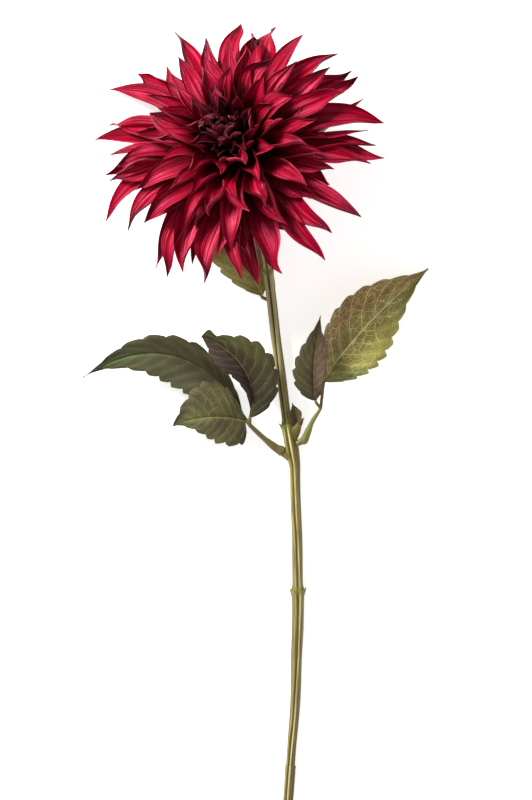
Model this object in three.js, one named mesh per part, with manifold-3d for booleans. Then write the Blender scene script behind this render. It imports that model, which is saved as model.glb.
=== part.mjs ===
// A cut semi-cactus dahlia lying on its back, in millimetres.
// X runs across, Y along the stem towards the bloom, Z up from the surface that it lies on.
// It is worked out round the bloom's centre, and the finished group is moved to the middle of its own box.
import * as THREE from "three";
import { mergeVertices } from "three/addons/utils/BufferGeometryUtils.js";
import Module from "manifold-3d";

const wasm = await Module();
wasm.setup();

const { degToRad: radians, lerp: mix, clamp, smoothstep } = THREE.MathUtils;
const vec = (x, y, z) => new THREE.Vector3(x, y, z);
const heading = (x, y, z) => vec(x, y, z).normalize();

// The bloom
const BLOOM_RADIUS = 100; // from its centre to the furthest petal tips
const CENTRE_HEIGHT = 50; // its centre above the surface
const FACE_TILT = radians(25); // how far its face leans from straight up
const FACE_TOWARDS = radians(131); // the direction in plan that it leans to
const DOME_TOP = 50; // how far the petal tips round the heart stand above the centre
const CORE = { radius: 18, depth: 13, back: -9 }; // cut off flat at its back, where the calyx sits
const PETAL_THICK = 1.3;
const PETAL_END = 0.35; // half width of a petal's very tip
const PRESSED = 2; // a petal lies flat on the surface where it would be lower than this over it
const PRESSED_THICK = 1.1;

// The stem and leaves
const STEM_END = -458; // the cut end
const STEM_SIDES = 10;
const RIDGE = 0.06; // every other side of the stem stands proud by this share
const STALK_SIDES = 8;
const BLADE_THICK = 0.8;
const RIB_RADIUS = 1.1;
const TOOTH = 0.07; // a leaf tooth's depth, as a share of the half width

// Fits
const GAP = 0.3; // between pieces that touch
const STEM_CLEAR = 1; // between the petals and the stem
const SHORTEST_EDGE = 0.02;

const centre = vec(0, 0, CENTRE_HEIGHT);
const axis = vec(
  Math.sin(FACE_TILT) * Math.cos(FACE_TOWARDS),
  Math.sin(FACE_TILT) * Math.sin(FACE_TOWARDS),
  Math.cos(FACE_TILT),
);

// Draws from -1 to 1, the same ones each time for a seed.
function seeded(seed) {
  let state = seed;
  return () => {
    state = (Math.imul(state, 1664525) + 1013904223) >>> 0;
    return state / 2 ** 31 - 1;
  };
}

// Solids

function solidOf(geometry) {
  geometry.deleteAttribute("normal");
  geometry.deleteAttribute("uv");
  const merged = mergeVertices(geometry);
  return new wasm.Manifold(
    new wasm.Mesh({
      numProp: 3,
      vertProperties: merged.attributes.position.array,
      triVerts: new Uint32Array(merged.index.array),
    }),
  );
}

function geometryOf(solid) {
  const mesh = solid.getMesh();
  const geometry = new THREE.BufferGeometry();
  const positions = new Float32Array(mesh.vertProperties);
  geometry.setAttribute("position", new THREE.BufferAttribute(positions, 3));
  geometry.setIndex(new THREE.BufferAttribute(new Uint32Array(mesh.triVerts), 1));
  geometry.computeVertexNormals();
  return geometry;
}

function solidFrom(points, faces) {
  const geometry = new THREE.BufferGeometry().setFromPoints(points);
  geometry.setIndex(faces.flat());
  return solidOf(geometry);
}

const fuse = (solids) => wasm.Manifold.union(solids);

// The largest body of a solid, with its shortest edges closed up: loose scraps are dropped.
function largest(solid) {
  const bodies = solid.simplify(SHORTEST_EDGE).decompose();
  return bodies.sort((a, b) => b.volume() - a.volume())[0];
}

// A closed tube over rings of points that all have the same count, flat at both ends.
function skin(rings) {
  const count = rings[0].length;
  const faces = [];
  for (let i = 0; i + 1 < rings.length; i++) {
    for (let k = 0; k < count; k++) {
      const a = i * count + k;
      const b = i * count + ((k + 1) % count);
      faces.push([a, b, b + count], [a, b + count, a + count]);
    }
  }
  const last = (rings.length - 1) * count;
  for (let k = 1; k + 1 < count; k++) {
    faces.push([0, k + 1, k], [last, last + k, last + k + 1]);
  }
  return solidFrom(rings.flat(), faces);
}

// Round rings along a path, for stalks and pegs.
function rod(path, radii) {
  const rings = path.map((point, i) => {
    const ahead = path[Math.min(i + 1, path.length - 1)];
    const behind = path[Math.max(i - 1, 0)];
    const along = ahead.clone().sub(behind).normalize();
    const across = vec(0, 0, 1).cross(along).normalize();
    const up = along.clone().cross(across);
    return Array.from({ length: STALK_SIDES }, (_, k) => {
      const turn = (2 * Math.PI * k) / STALK_SIDES;
      return point
        .clone()
        .addScaledVector(across, radii[i] * Math.cos(turn))
        .addScaledVector(up, radii[i] * Math.sin(turn));
    });
  });
  return skin(rings);
}

// A closed solid over rows of points, split into triangles alike on both faces.
function sheet(rows) {
  const columns = rows[0].length;
  const spots = rows.flat();
  const points = [
    ...spots.map(({ point, up, above }) => point.clone().addScaledVector(up, above)),
    ...spots.map(({ point, up, below }) => point.clone().addScaledVector(up, -below)),
  ];
  const under = spots.length;
  const faces = [];
  for (let i = 0; i + 1 < rows.length; i++) {
    for (let k = 0; k + 1 < columns; k++) {
      const a = i * columns + k;
      const c = a + columns + 1;
      faces.push([a, a + 1, c], [a, c, c - 1]);
      faces.push([under + a, under + c, under + a + 1], [under + a, under + c - 1, under + c]);
    }
    const left = i * columns;
    const right = left + columns - 1;
    faces.push([left, left + columns, under + left + columns]);
    faces.push([left, under + left + columns, under + left]);
    faces.push([right, under + right, under + right + columns]);
    faces.push([right, under + right + columns, right + columns]);
  }
  const end = (rows.length - 1) * columns;
  for (let k = 0; k + 1 < columns; k++) {
    faces.push([k, under + k, under + k + 1], [k, under + k + 1, k + 1]);
    faces.push([end + k, end + k + 1, under + end + k + 1]);
    faces.push([end + k, under + end + k + 1, under + end + k]);
  }
  return solidFrom(points, faces);
}

// Places round the bloom's axis

function outFromAxis(point) {
  const from = point.clone().sub(centre);
  return from.addScaledVector(axis, -from.dot(axis));
}

// A point at an angle round the axis, a distance out from it and a height over the centre.
function aroundAxis(angle, radius, height) {
  const eastward = outFromAxis(vec(1, 0, 0).add(centre)).normalize();
  const side = eastward.applyAxisAngle(axis, angle);
  return centre.clone().addScaledVector(side, radius).addScaledVector(axis, height);
}

// The point over x and y in plan that is a given height over the centre, along the axis.
function overPlan(x, y, height) {
  return vec(x, y, CENTRE_HEIGHT + (height - x * axis.x - y * axis.y) / axis.z);
}

// A solid of revolution about the axis, from a profile of [radius, height over the centre] pairs.
function turned(profile, segments) {
  const lathe = new THREE.LatheGeometry(
    profile.map((corner) => new THREE.Vector2(...corner)),
    segments,
  );
  lathe.applyQuaternion(new THREE.Quaternion().setFromUnitVectors(vec(0, 1, 0), axis));
  lathe.translate(...centre.toArray());
  return solidOf(lathe);
}

// The heart grows inside this goblet, and the red petals stay outside it.
const GOBLET = { foot: 6, footHeight: 8, lip: 26, lipHeight: 62, top: 92, clear: 3, segments: 20 };

function goblet(margin) {
  return turned(
    [
      [0, GOBLET.footHeight - margin],
      [GOBLET.foot + margin, GOBLET.footHeight - margin],
      [GOBLET.lip + margin, GOBLET.lipHeight],
      [GOBLET.lip + margin, GOBLET.top],
      [0, GOBLET.top],
    ],
    GOBLET.segments,
  );
}

function pushedOut(point, out) {
  const height = point.clone().sub(centre).dot(axis);
  const share = (height - GOBLET.footHeight) / (GOBLET.lipHeight - GOBLET.footHeight);
  const least = mix(GOBLET.foot, GOBLET.lip, clamp(share, 0, 1)) + GOBLET.clear;
  return point.addScaledVector(out, Math.max(0, least - outFromAxis(point).length()));
}

// Petals

// How each group of petals grows:
// root: where they start, as a share of the core
// wide, widen: half the width of a petal, and how it grows with the petal's length
// curl, curlVary: how far the tips bend outwards, and how that varies, in degrees
// steps: the sections down a petal, as shares of its length
// tiers: how many levels neighbours are spread over
// drop, vary: how far the tips lie below the dome, and how that varies
const RIM = {
  seed: 11,
  root: 0.74,
  wide: 4.8,
  widen: 0.05,
  curl: 14,
  curlVary: 16,
  steps: [0, 0.36, 0.64, 0.86, 1],
  tiers: 3,
  drop: 3,
  vary: 6,
};
const MIDDLE = {
  seed: 23,
  root: 0.74,
  wide: 4.2,
  widen: 0.055,
  curl: 26,
  curlVary: 16,
  steps: [0, 0.35, 0.62, 0.86, 1],
  tiers: 2,
  drop: 0,
  vary: 4,
};
const INNER = {
  seed: 37,
  root: 0.8,
  wide: 4.4,
  widen: 0.055,
  curl: 38,
  curlVary: 18,
  steps: [0, 0.38, 0.65, 0.87, 1],
  tiers: 2,
  drop: -2,
  vary: 3,
};
const SHORT = {
  seed: 41,
  root: 0.8,
  wide: 3,
  widen: 0.04,
  curl: 30,
  curlVary: 14,
  steps: [0, 0.4, 0.7, 1],
};
const UNDER = {
  seed: 53,
  root: 0.74,
  wide: 5.4,
  widen: 0.055,
  curl: 14,
  curlVary: 14,
  steps: [0, 0.45, 0.8, 1],
};
const RESTER = { ...UNDER, seed: 67, steps: [0, 0.45, 0.8, 0.91, 1] };
const DARK = {
  seed: 5,
  dark: true,
  root: 0.4,
  wide: 2,
  widen: 0.045,
  curl: 22,
  curlVary: 22,
  steps: [0, 0.4, 0.75, 1],
};

// Tips of the petals that make the bloom's outline, clockwise from the top left: how far across and up each
// is from the centre in plan, and the angle that it bends sideways by.
const RIM_TIPS = [
  [-48, 86, 8], [-27, 80, 0], [-11, 79, 4], [-1, 92, -10], [9, 85, 5], [25, 89, -4], [43, 82, -6],
  [68, 70, -16], [64, 58, 4], [79, 55, -8], [83, 51, 6], [87, 35, 12], [100, 21, -10], [89, 15, 4],
  [94, 6, 8], [100, -6, -3], [90, -10, -8], [83, -48, 0], [62, -59, 6], [58, -77, 2], [29, -85, 12],
  [13, -94, 10], [1, -90, 4], [-28, -92, 4], [-32, -79, 12], [-41, -85, 20], [-53, -88, 16], [-61, -82, 18],
  [-67, -51, 6], [-81, -55, 20], [-97, -47, 26], [-91, -23, 4], [-95, -17, 12], [-92, -1, -6],
  [-101, 9, 10], [-94, 18, 3], [-92, 45, 14], [-74, 55, 6], [-55, 59, -4], [-45, 66, 3],
];
// Tips of the petals that stand over those.
const MIDDLE_TIPS = [
  [-25, 67, 0], [2, 73, 6], [17, 66, -6], [31, 47, 5], [72, 41, -10], [64, -6, 6], [47, 2, -12],
  [46, -24, 8], [30, -54, -4], [6, -75, 10], [-9, -70, 0], [-14, -75, -8], [-38, -57, 12], [-66, -49, -6],
  [-72, -28, 8], [-86, -9, 4], [-73, 13, -8], [-64, 8, 10], [-65, 25, 0], [-66, 38, 8],
  [-46, 46, -5], [52, 24, 10], [40, 62, -6], [-55, -5, 6], [-50, -28, -8],
];
// Tips of the petals nearer the heart.
const INNER_TIPS = [
  [30, 20, 16], [22, 36, -10], [24, 2, 8], [14, -21, -14], [18, -39, 8], [-5, -33, -6],
  [-19, -46, 10], [-34, -32, -8], [-37, -14, 10], [-15, -18, -12], [3, -9, 14], [-57, 30, 6],
  [-54, 15, -10], [14, 52, 8], [36, 38, -12], [-30, 58, 5], [-10, 60, -6], [-19, 47, 6],
  [-37, 36, -8], [4, 22, 10], [4, -44, 6],
];

// Rings of petals by rule: how many, how far out their tips are, and their height over the centre.
const AROUND_HEART = { count: 11, reach: 25, height: 46, sink: 4, jitter: 0.3 };
const UNDER_ROWS = [
  { count: 14, reach: 64, height: 12, first: 14 },
  { count: 11, reach: 66, height: -20, first: 12 },
];
const UNDER_JITTER = 0.2;
// The last row rests on the surface, all round but for the stem and the leaf under it.
const RESTING = { from: -58, to: 232, count: 11, reach: 66, lands: 46 };
// The heart's dark petals, in a spiral from the bud outwards.
const SPIRAL = { count: 21, turn: 137.5, from: 4, to: 27, height: 50, sink: 4 };

// How steeply petals leave the core and bend, in degrees, from the heart to the outline.
const ROOT_FROM_TOP = [28, 98];
const RISE_ABOVE_CHORD = [4, 22];
const TIER_STEP = 11; // a higher tier starts lower down, so that neighbours pass over one another
const RISE_PER_TIER = 7;
const START_REACH = 0.38; // the curve's two handles, as shares of the petal's length
const TIP_REACH = 0.36;
const TURN_AT_START = -0.7; // how the sideways bend is shared between the start and the tip
const TURN_AT_TIP = 1.2;
const VARY = { bend: 6, width: 0.12, twist: 34, reach: 0.055 };

// A petal from the core to its tip: its curve, the direction of its width, and its half width and twist.
function petalTo(tip, kind, draw, sway = 0, tier = 0) {
  const out = outFromAxis(tip);
  const reach = clamp(out.length() / BLOOM_RADIUS, 0, 1);
  out.normalize();
  const fromTop = radians(mix(...ROOT_FROM_TOP, reach) + TIER_STEP * tier);
  const root = centre
    .clone()
    .addScaledVector(out, kind.root * CORE.radius * Math.sin(fromTop))
    .addScaledVector(axis, kind.root * CORE.depth * Math.cos(fromTop));
  const chord = tip.clone().sub(root);
  const length = chord.length();
  const lean = Math.acos(clamp(chord.dot(axis) / length, -1, 1));
  const rise = radians(mix(...RISE_ABOVE_CHORD, Math.sqrt(reach)) - RISE_PER_TIER * tier);
  const curl = radians(kind.curl + kind.curlVary * draw());
  const bend = radians(sway + VARY.bend * draw());
  const leaning = (angle, turn) =>
    out
      .clone()
      .applyAxisAngle(axis, turn)
      .multiplyScalar(Math.sin(angle))
      .addScaledVector(axis, Math.cos(angle));
  const start = leaning(lean - rise, TURN_AT_START * bend);
  const finish = leaning(lean + curl, TURN_AT_TIP * bend);
  const rising = root.clone().addScaledVector(start, START_REACH * length);
  const landing = tip.clone().addScaledVector(finish, -TIP_REACH * length);
  const points = [rising, landing, tip].map((point) => (kind.dark ? point : pushedOut(point, out)));
  return {
    curve: new THREE.CubicBezierCurve3(root, ...points),
    side: axis.clone().cross(out).normalize(),
    halfWidth: (kind.wide + kind.widen * length) * (1 + VARY.width * draw()),
    twist: radians(VARY.twist * draw()),
    steps: kind.steps,
  };
}

// A petal's half width along its length: a narrow claw, widest past the middle, and a drawn-out tip.
function petalShare(t) {
  const claw = mix(0.24, 1, smoothstep(t, 0.08, 0.62));
  return claw * (1 - t ** 4) * mix(1, 0.65, smoothstep(t, 0.7, 1));
}

// How far its halves fold up towards each other: a channel at the claw, flatter past it, folded at the tip.
const petalFold = (t) => radians(mix(42, 20, smoothstep(t, 0, 0.55)) + 16 * t * t);

// Each section of a petal has a left edge, the rib's underside, a right edge and the rib's top.
function petalSolid(petal) {
  const rings = petal.steps.map((t) => {
    const middle = petal.curve.getPoint(t);
    const along = petal.curve.getTangent(t);
    const across = petal.side.clone().addScaledVector(along, -petal.side.dot(along)).normalize();
    across.applyAxisAngle(along, petal.twist * t * t);
    const up = along.clone().cross(across);
    const half = Math.max(petal.halfWidth * petalShare(t), PETAL_END);
    const fold = petalFold(t);
    const thick = PETAL_THICK * mix(1, 0.5, t * t);
    const at = (sideways, upwards) =>
      middle.clone().addScaledVector(across, sideways).addScaledVector(up, upwards);
    const left = at(-half * Math.cos(fold), half * Math.sin(fold));
    const right = at(half * Math.cos(fold), half * Math.sin(fold));
    const below = at(0, -thick / 2);
    const above = at(0, thick / 2);
    for (const point of [left, below, right]) {
      if (point.z < PRESSED) point.z = 0;
    }
    above.z = Math.max(above.z, PRESSED_THICK);
    return [left, below, right, above];
  });
  return skin(rings);
}

// The dome that the tips lie on falls away from the axis, and a few rounds settle on its height.
const DOME_ROUNDS = 5;

function domeTip(x, y, kind, draw) {
  let height = DOME_TOP / 2;
  for (let round = 0; round < DOME_ROUNDS; round++) {
    const reach = outFromAxis(overPlan(x, y, height)).length() / BLOOM_RADIUS;
    height = DOME_TOP * (1 - reach * reach) - kind.drop;
  }
  const tip = overPlan(x, y, height + kind.vary * draw());
  tip.z = Math.max(tip.z, 0);
  return tip;
}

// A group's petals, from its list of tips, with neighbours on different tiers.
function listedPetals(tips, kind) {
  const draw = seeded(kind.seed);
  return tips.map(([x, y, sway], i) => {
    const tier = (i % kind.tiers) - (kind.tiers - 1) / 2;
    return petalTo(domeTip(x, y, kind, draw), kind, draw, sway, tier);
  });
}

function shortPetals() {
  const draw = seeded(SHORT.seed);
  return Array.from({ length: AROUND_HEART.count }, (_, i) => {
    const angle = (2 * Math.PI * (i + AROUND_HEART.jitter * draw())) / AROUND_HEART.count;
    const reach = AROUND_HEART.reach * (1 + 2 * VARY.reach * draw());
    const tip = aroundAxis(angle, reach, AROUND_HEART.height + AROUND_HEART.sink * draw());
    return petalTo(tip, SHORT, draw);
  });
}

function underPetals() {
  const draw = seeded(UNDER.seed);
  return UNDER_ROWS.flatMap((row) =>
    Array.from({ length: row.count }, (_, i) => {
      const angle = radians(row.first + (360 * (i + UNDER_JITTER * draw())) / row.count);
      const reach = row.reach * (1 + VARY.reach * draw());
      const tip = overPlan(reach * Math.cos(angle), reach * Math.sin(angle), row.height);
      tip.z = Math.max(tip.z, 0);
      return petalTo(tip, UNDER, draw);
    }),
  );
}

function restingPetals() {
  const draw = seeded(RESTER.seed);
  return Array.from({ length: RESTING.count }, (_, i) => {
    const angle = radians(mix(RESTING.from, RESTING.to, i / (RESTING.count - 1)));
    const outward = vec(Math.cos(angle), Math.sin(angle), 0);
    const petal = petalTo(outward.clone().multiplyScalar(RESTING.reach), RESTER, draw);
    petal.curve.v2 = outward.multiplyScalar(RESTING.lands);
    return petal;
  });
}

function heartPetals() {
  const draw = seeded(DARK.seed);
  return Array.from({ length: SPIRAL.count }, (_, i) => {
    const share = Math.sqrt((i + 1) / SPIRAL.count);
    const reach = mix(SPIRAL.from, SPIRAL.to, share) * (1 + 2 * VARY.reach * draw());
    const tip = aroundAxis(radians(SPIRAL.turn * i), reach, SPIRAL.height + SPIRAL.sink * draw());
    return petalTo(tip, DARK, draw);
  });
}

// The core that the petals grow from
const CORE_STEPS = 8;
const CORE_SEGMENTS = 16;

function core() {
  const profile = Array.from({ length: CORE_STEPS + 1 }, (_, i) => {
    const angle = mix(-0.5 * Math.PI, 0.5 * Math.PI, i / CORE_STEPS);
    const onAxis = i === 0 || i === CORE_STEPS;
    const height = Math.max(CORE.depth * Math.sin(angle), CORE.back);
    return [onAxis ? 0 : CORE.radius * Math.cos(angle), height];
  });
  return turned(profile, CORE_SEGMENTS);
}

// The bud in the middle of the heart
const BUD_PROFILE = [
  [0, GOBLET.footHeight], [GOBLET.foot - 0.5, GOBLET.footHeight], [8.5, 20], [6, 33], [0, 38],
];
const BUD_SEGMENTS = 10;

// The calyx is a cup behind the core, with bracts bent back towards the stem.
const CUP = {
  radius: 10.5,
  top: CORE.back - GAP,
  waist: CORE.back - 3.3,
  foot: -19.5,
  footRadius: 5,
  segments: 16,
};
const BRACTS = 7;
// Down a bract: how far out from the axis, how high over the centre, and its half width.
const BRACT_STATIONS = [[6, -12, 3.2], [11.5, -13.5, 3.4], [15, -17, 2.6], [16, -22, 0.4]];
const BRACT_KEEL = { inwards: 0.8, downwards: 0.9 };
const BRACT_TOP = 0.35;

function calyxCup(margin) {
  return turned(
    [
      [0, CUP.foot - margin],
      [CUP.footRadius + margin, CUP.foot - margin],
      [CUP.radius + margin, CUP.waist],
      [CUP.radius + margin, CUP.top + margin],
      [0, CUP.top + margin],
    ],
    CUP.segments,
  );
}

function bracts() {
  return Array.from({ length: BRACTS }, (_, i) => {
    const angle = (2 * Math.PI * (i + 0.5)) / BRACTS;
    const across = axis.clone().cross(outFromAxis(aroundAxis(angle, 1, 0))).normalize();
    const rings = BRACT_STATIONS.map(([radius, height, half]) => [
      aroundAxis(angle, radius, height).addScaledVector(across, -half),
      aroundAxis(angle, radius - BRACT_KEEL.inwards, height - BRACT_KEEL.downwards),
      aroundAxis(angle, radius, height).addScaledVector(across, half),
      aroundAxis(angle, radius + BRACT_TOP, height + BRACT_TOP),
    ]);
    return skin(rings);
  });
}

// The stem's middle line, from inside the calyx to the cut end
const STEM_ROUTE = [
  [4, -4.6, 36.9], [7.6, -14, 25.5], [10.4, -30, 16], [13, -48, 11], [15.4, -64, 9.4], [19.1, -86, 8.4],
  [23.1, -118, 7.4], [27.1, -151, 6.4], [32.1, -187, 6], [36.8, -216, 5.6], [37.8, -230, 5.3],
  [39.8, -296, 4.9], [39.8, -328, 4.5], [38.9, -361, 4.2], [37.5, -393, 4], [34.6, -430, 3.7],
  [32.7, STEM_END, 3.4],
];
// The stem's radius down its length, as [y, radius]. Each joint has a rim, from which the next length grows.
const STEM_RADII = [
  [-4.6, 3.3], [-9, 3.2], [-15, 2.9], [-30, 2.8], [-48, 2.8], [-66, 2.9], [-82, 3],
  [-84, 3.6], [-90, 3.8], [-96, 3.4], [-118, 3.4], [-150, 3.4], [-184, 3.3],
  [-190, 3.4], [-191, 5.2], [-194, 4.4], [-204, 4.6], [-216, 4.2], [-228, 3.6], [-262, 3.6], [-300, 3.6],
  [-307, 3.6], [-308.5, 5.1], [-312, 4.3], [-330, 4], [-361, 3.7], [-400, 3.3], [-430, 3.1],
  [-431, 3.7], [-434, 3.6], [STEM_END, 3.5],
];
const HALVINGS = 40;

const stemCurve = new THREE.CatmullRomCurve3(
  STEM_ROUTE.map((point) => vec(...point)),
  false,
  "catmullrom",
);

// The share of the stem's curve at which it comes down to a given y.
function stemShare(y) {
  let low = 0;
  let high = 1;
  for (let round = 0; round < HALVINGS; round++) {
    const middle = (low + high) / 2;
    if (stemCurve.getPoint(middle).y > y) low = middle;
    else high = middle;
  }
  return low;
}

function stemSkin(margin) {
  const rings = STEM_RADII.map(([y, radius], i) => {
    const share = stemShare(y);
    const point = stemCurve.getPoint(share);
    const along = stemCurve.getTangent(share);
    if (i === 0) point.addScaledVector(along, -margin);
    const across = vec(1, 0, 0).addScaledVector(along, -along.x).normalize();
    const up = across.clone().cross(along);
    return Array.from({ length: STEM_SIDES }, (_, k) => {
      const turn = -(2 * Math.PI * k) / STEM_SIDES;
      const size = (radius + margin) * (1 + (k % 2 ? -RIDGE : RIDGE));
      const corner = point
        .clone()
        .addScaledVector(across, size * Math.cos(turn))
        .addScaledVector(up, size * Math.sin(turn));
      corner.z = Math.max(corner.z, 0);
      return corner;
    });
  });
  return skin(rings);
}

// Stalks plug onto pegs on the stem. A peg starts inside the stem.
const LEFT_PEG = { foot: vec(36.4, -215.5, 6), towards: heading(-0.8, 0.6, 0.12), length: 8.8, radius: 3 };
const RIGHT_PEG = { foot: vec(35.5, -206, 6), towards: heading(0.9, 0.42, 0.15), length: 8.2, radius: 2.1 };
// Two leaves grow straight from the stem, on short feet that start in it.
const STUB_FOOT = { from: vec(35, -203, 6), radius: 1.2 };
const BACK_FOOT = { from: vec(21.5, -104, 7.4), radius: 1.3 };

const pegEnd = (peg, extra) => peg.foot.clone().addScaledVector(peg.towards, peg.length + extra);
const pegSolid = (peg) => rod([peg.foot, pegEnd(peg, 0)], [peg.radius, peg.radius]);

// Each leaf has a midrib and two halves, left and right of it as seen looking to the tip.
// half: how wide each half is
// broad: how full each half is near the foot, less being fuller
// fold: how far each half folds up, in degrees
// teeth: how many there are on each margin
// face: the way the leaf's upper face looks
// droop, wave: how far its margins sag, and how high the waves in them are
const rib = (...points) => new THREE.CubicBezierCurve3(...points.map((point) => vec(...point)));
const LEAVES = {
  left_leaf_far: {
    rib: rib([0.8, -183.5, 12.5], [-18, -142, 10], [-62, -124, 34], [-111, -156, 1.2]),
    half: [23, 16], broad: [0.65, 0.8], fold: [8, 14],
    teeth: 9, face: vec(0.1, -0.3, 1), droop: 0.1, wave: 0.8,
  },
  left_leaf_low: {
    rib: rib([3.4, -188.6, 16.5], [-9, -185, 21], [-30, -184, 22], [-48.3, -192, 8]),
    half: [20, 27], broad: [0.5, 0.8], fold: [4, 8],
    teeth: 7, face: vec(0, 0.05, 1), droop: 0.1, wave: 0.8,
  },
  left_leaf_high: {
    rib: rib([6.4, -185.8, 18], [12, -162, 24], [0, -137, 33], [-27, -127, 27]),
    half: [18, 25], broad: [1.4, 0.7], fold: [58, 10],
    teeth: 8, face: vec(-0.15, -0.1, 1), droop: 0.14, wave: 0.6,
  },
  right_leaf_large: {
    rib: rib([58.6, -160.8, 15.5], [66, -144, 23], [92, -114, 31], [132, -81, 1.2]),
    half: [26, 26], broad: [0.95, 0.6], fold: [14, 4],
    teeth: 10, face: vec(0.12, -0.16, 1), droop: 0.06, wave: 0.7,
  },
  right_leaf_small: {
    rib: rib([52.4, -174, 19.5], [49, -162, 25], [51, -140, 34], [55.7, -114.5, 33]),
    half: [15, 14], broad: [0.7, 0.9], fold: [8, 40],
    teeth: 7, face: vec(-0.1, 0, 1), droop: 0.1, wave: 0.5,
  },
  back_leaf: {
    rib: rib([14.6, -100, 3.2], [4, -80, 1.9], [-8, -48, 1.7], [-29, -8, 1.6]),
    half: [27, 25], broad: [0.85, 0.85], fold: [0, 0],
    teeth: 9, face: vec(0, 0, 1), droop: 0, wave: 0,
  },
  stub_leaf: {
    rib: rib([39.1, -195, 8.4], [40, -190, 11], [39.5, -183, 13], [35.8, -176, 15]),
    half: [4, 9], broad: [0.7, 0.7], fold: [30, 10],
    teeth: 4, face: vec(-0.3, 0, 1), droop: 0.1, wave: 0.3,
  },
};
const LEAF_COLUMNS = [-1, -0.5, -0.07, 0, 0.07, 0.5, 1];
const RIB_COLUMN = 3;
const WAVES = 13; // how fast the waves run down a margin, in radians over its length
const SWEEP = 0.16; // how far the side veins sweep forwards, as a share of the distance out
const TOOTH_LEAD = 0.35; // how far a tooth points forwards, as a share of its length
const FULL_AT_FOOT = 0.85;
const DRAWN_AT_TIP = 1.35;

// A leaf's width along its length: full by its foot and drawn out to its tip.
const leafShare = (t, broad) =>
  Math.sin(Math.PI * clamp(t, 0, 1) ** broad) ** mix(FULL_AT_FOOT, DRAWN_AT_TIP, t);

// A leaf's blade: rows of points across it at each tooth's tip and notch, with the midrib thicker underneath.
function leafSolid(leaf) {
  const steps = 2 * leaf.teeth;
  const rows = Array.from({ length: steps + 1 }, (_, i) => {
    const t = i / steps;
    const middle = leaf.rib.getPoint(t);
    const along = leaf.rib.getTangent(t);
    const across = along.clone().cross(leaf.face).normalize();
    const up = across.clone().cross(along);
    if (i === 0) middle.addScaledVector(along, GAP / 2);
    const notch = i % 2 === 0 && i < steps;
    return LEAF_COLUMNS.map((column, k) => {
      const side = column < 0 ? 0 : 1;
      const edge = Math.abs(column) === 1;
      const rooted = RIB_RADIUS * (1 - t / 2);
      const half = Math.max(leaf.half[side] * leafShare(t, leaf.broad[side]), rooted);
      const out = Math.abs(column) * half * (edge && notch && i > 0 ? 1 - 2 * TOOTH : 1);
      const fold = radians(leaf.fold[side]) * smoothstep(t, 0, 0.25);
      const sag = (leaf.droop * out * out) / leaf.half[side];
      const ripple = leaf.wave * column * column * Math.sin(WAVES * t + 2 * column) * Math.min(1, 5 * t);
      const lead = edge && !notch ? (TOOTH_LEAD * leaf.half[side]) / leaf.teeth : 0;
      const point = middle
        .clone()
        .addScaledVector(across, Math.sign(column) * out * Math.cos(fold))
        .addScaledVector(up, out * Math.sin(fold) - sag + ripple)
        .addScaledVector(along, i === 0 ? 0 : lead + SWEEP * out);
      const ribbed = k === RIB_COLUMN ? RIB_RADIUS * (1 - 0.7 * t) : 0;
      const below = BLADE_THICK / 2 + ribbed;
      point.z = Math.max(point.z, below);
      return { point, up, above: BLADE_THICK / 2, below };
    });
  });
  return sheet(rows);
}

// A stalk's last length, which ends square just short of a leaf's foot.
const LAST_LENGTH = 1.6;

function branchTo(from, name, radius) {
  const leaf = LEAVES[name];
  const along = leaf.rib.getTangent(0);
  const end = leaf.rib.getPoint(0).addScaledVector(along, -GAP / 2);
  const before = end.clone().addScaledVector(along, -LAST_LENGTH);
  return rod([from, before, end], [radius, radius, RIB_RADIUS]);
}

// A stalk starts square, just short of its peg's end.
function stalkFrom(peg, path, radii) {
  const start = pegEnd(peg, GAP);
  const straight = start.clone().addScaledVector(peg.towards, LAST_LENGTH);
  return rod([start, straight, ...path], radii);
}

const LEFT_FORK = vec(6.4, -190.5, 15);
const LEFT_STALK = {
  path: [vec(24.5, -206, 8.4), vec(15.5, -198.5, 11.4), LEFT_FORK],
  radii: [3.2, 3.1, 2.5, 1.7, 1.5],
};
const RIGHT_FORK = vec(56, -179.5, 15);
const RIGHT_STALK = {
  path: [vec(46.8, -196.5, 9.5), vec(50, -189, 12), RIGHT_FORK],
  radii: [2.3, 2.4, 2.3, 1.6, 1.2],
};

function leftStalk() {
  return fuse([
    stalkFrom(LEFT_PEG, LEFT_STALK.path, LEFT_STALK.radii),
    branchTo(LEFT_FORK, "left_leaf_far", 1.3),
    branchTo(LEFT_FORK, "left_leaf_low", 1.3),
    branchTo(LEFT_FORK, "left_leaf_high", 1.3),
  ]);
}

function rightStalk() {
  return fuse([
    stalkFrom(RIGHT_PEG, RIGHT_STALK.path, RIGHT_STALK.radii),
    branchTo(RIGHT_FORK, "right_leaf_large", 1.15),
    branchTo(RIGHT_FORK, "right_leaf_small", 1.1),
  ]);
}

// Colours
const surface = (color, roughness) => new THREE.MeshStandardMaterial({ color, roughness, metalness: 0 });
const CRIMSON = 0xa3102f;
const MAROON = 0x2c0610;
const BRACT_GREEN = 0x5f6a2c;
const STEM_OLIVE = 0x7d7336;
const LEAF_GREEN = 0x4a4a26;
const CLOTH = 0.6; // roughness
const WAXY = 0.45;

// The flower

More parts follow.
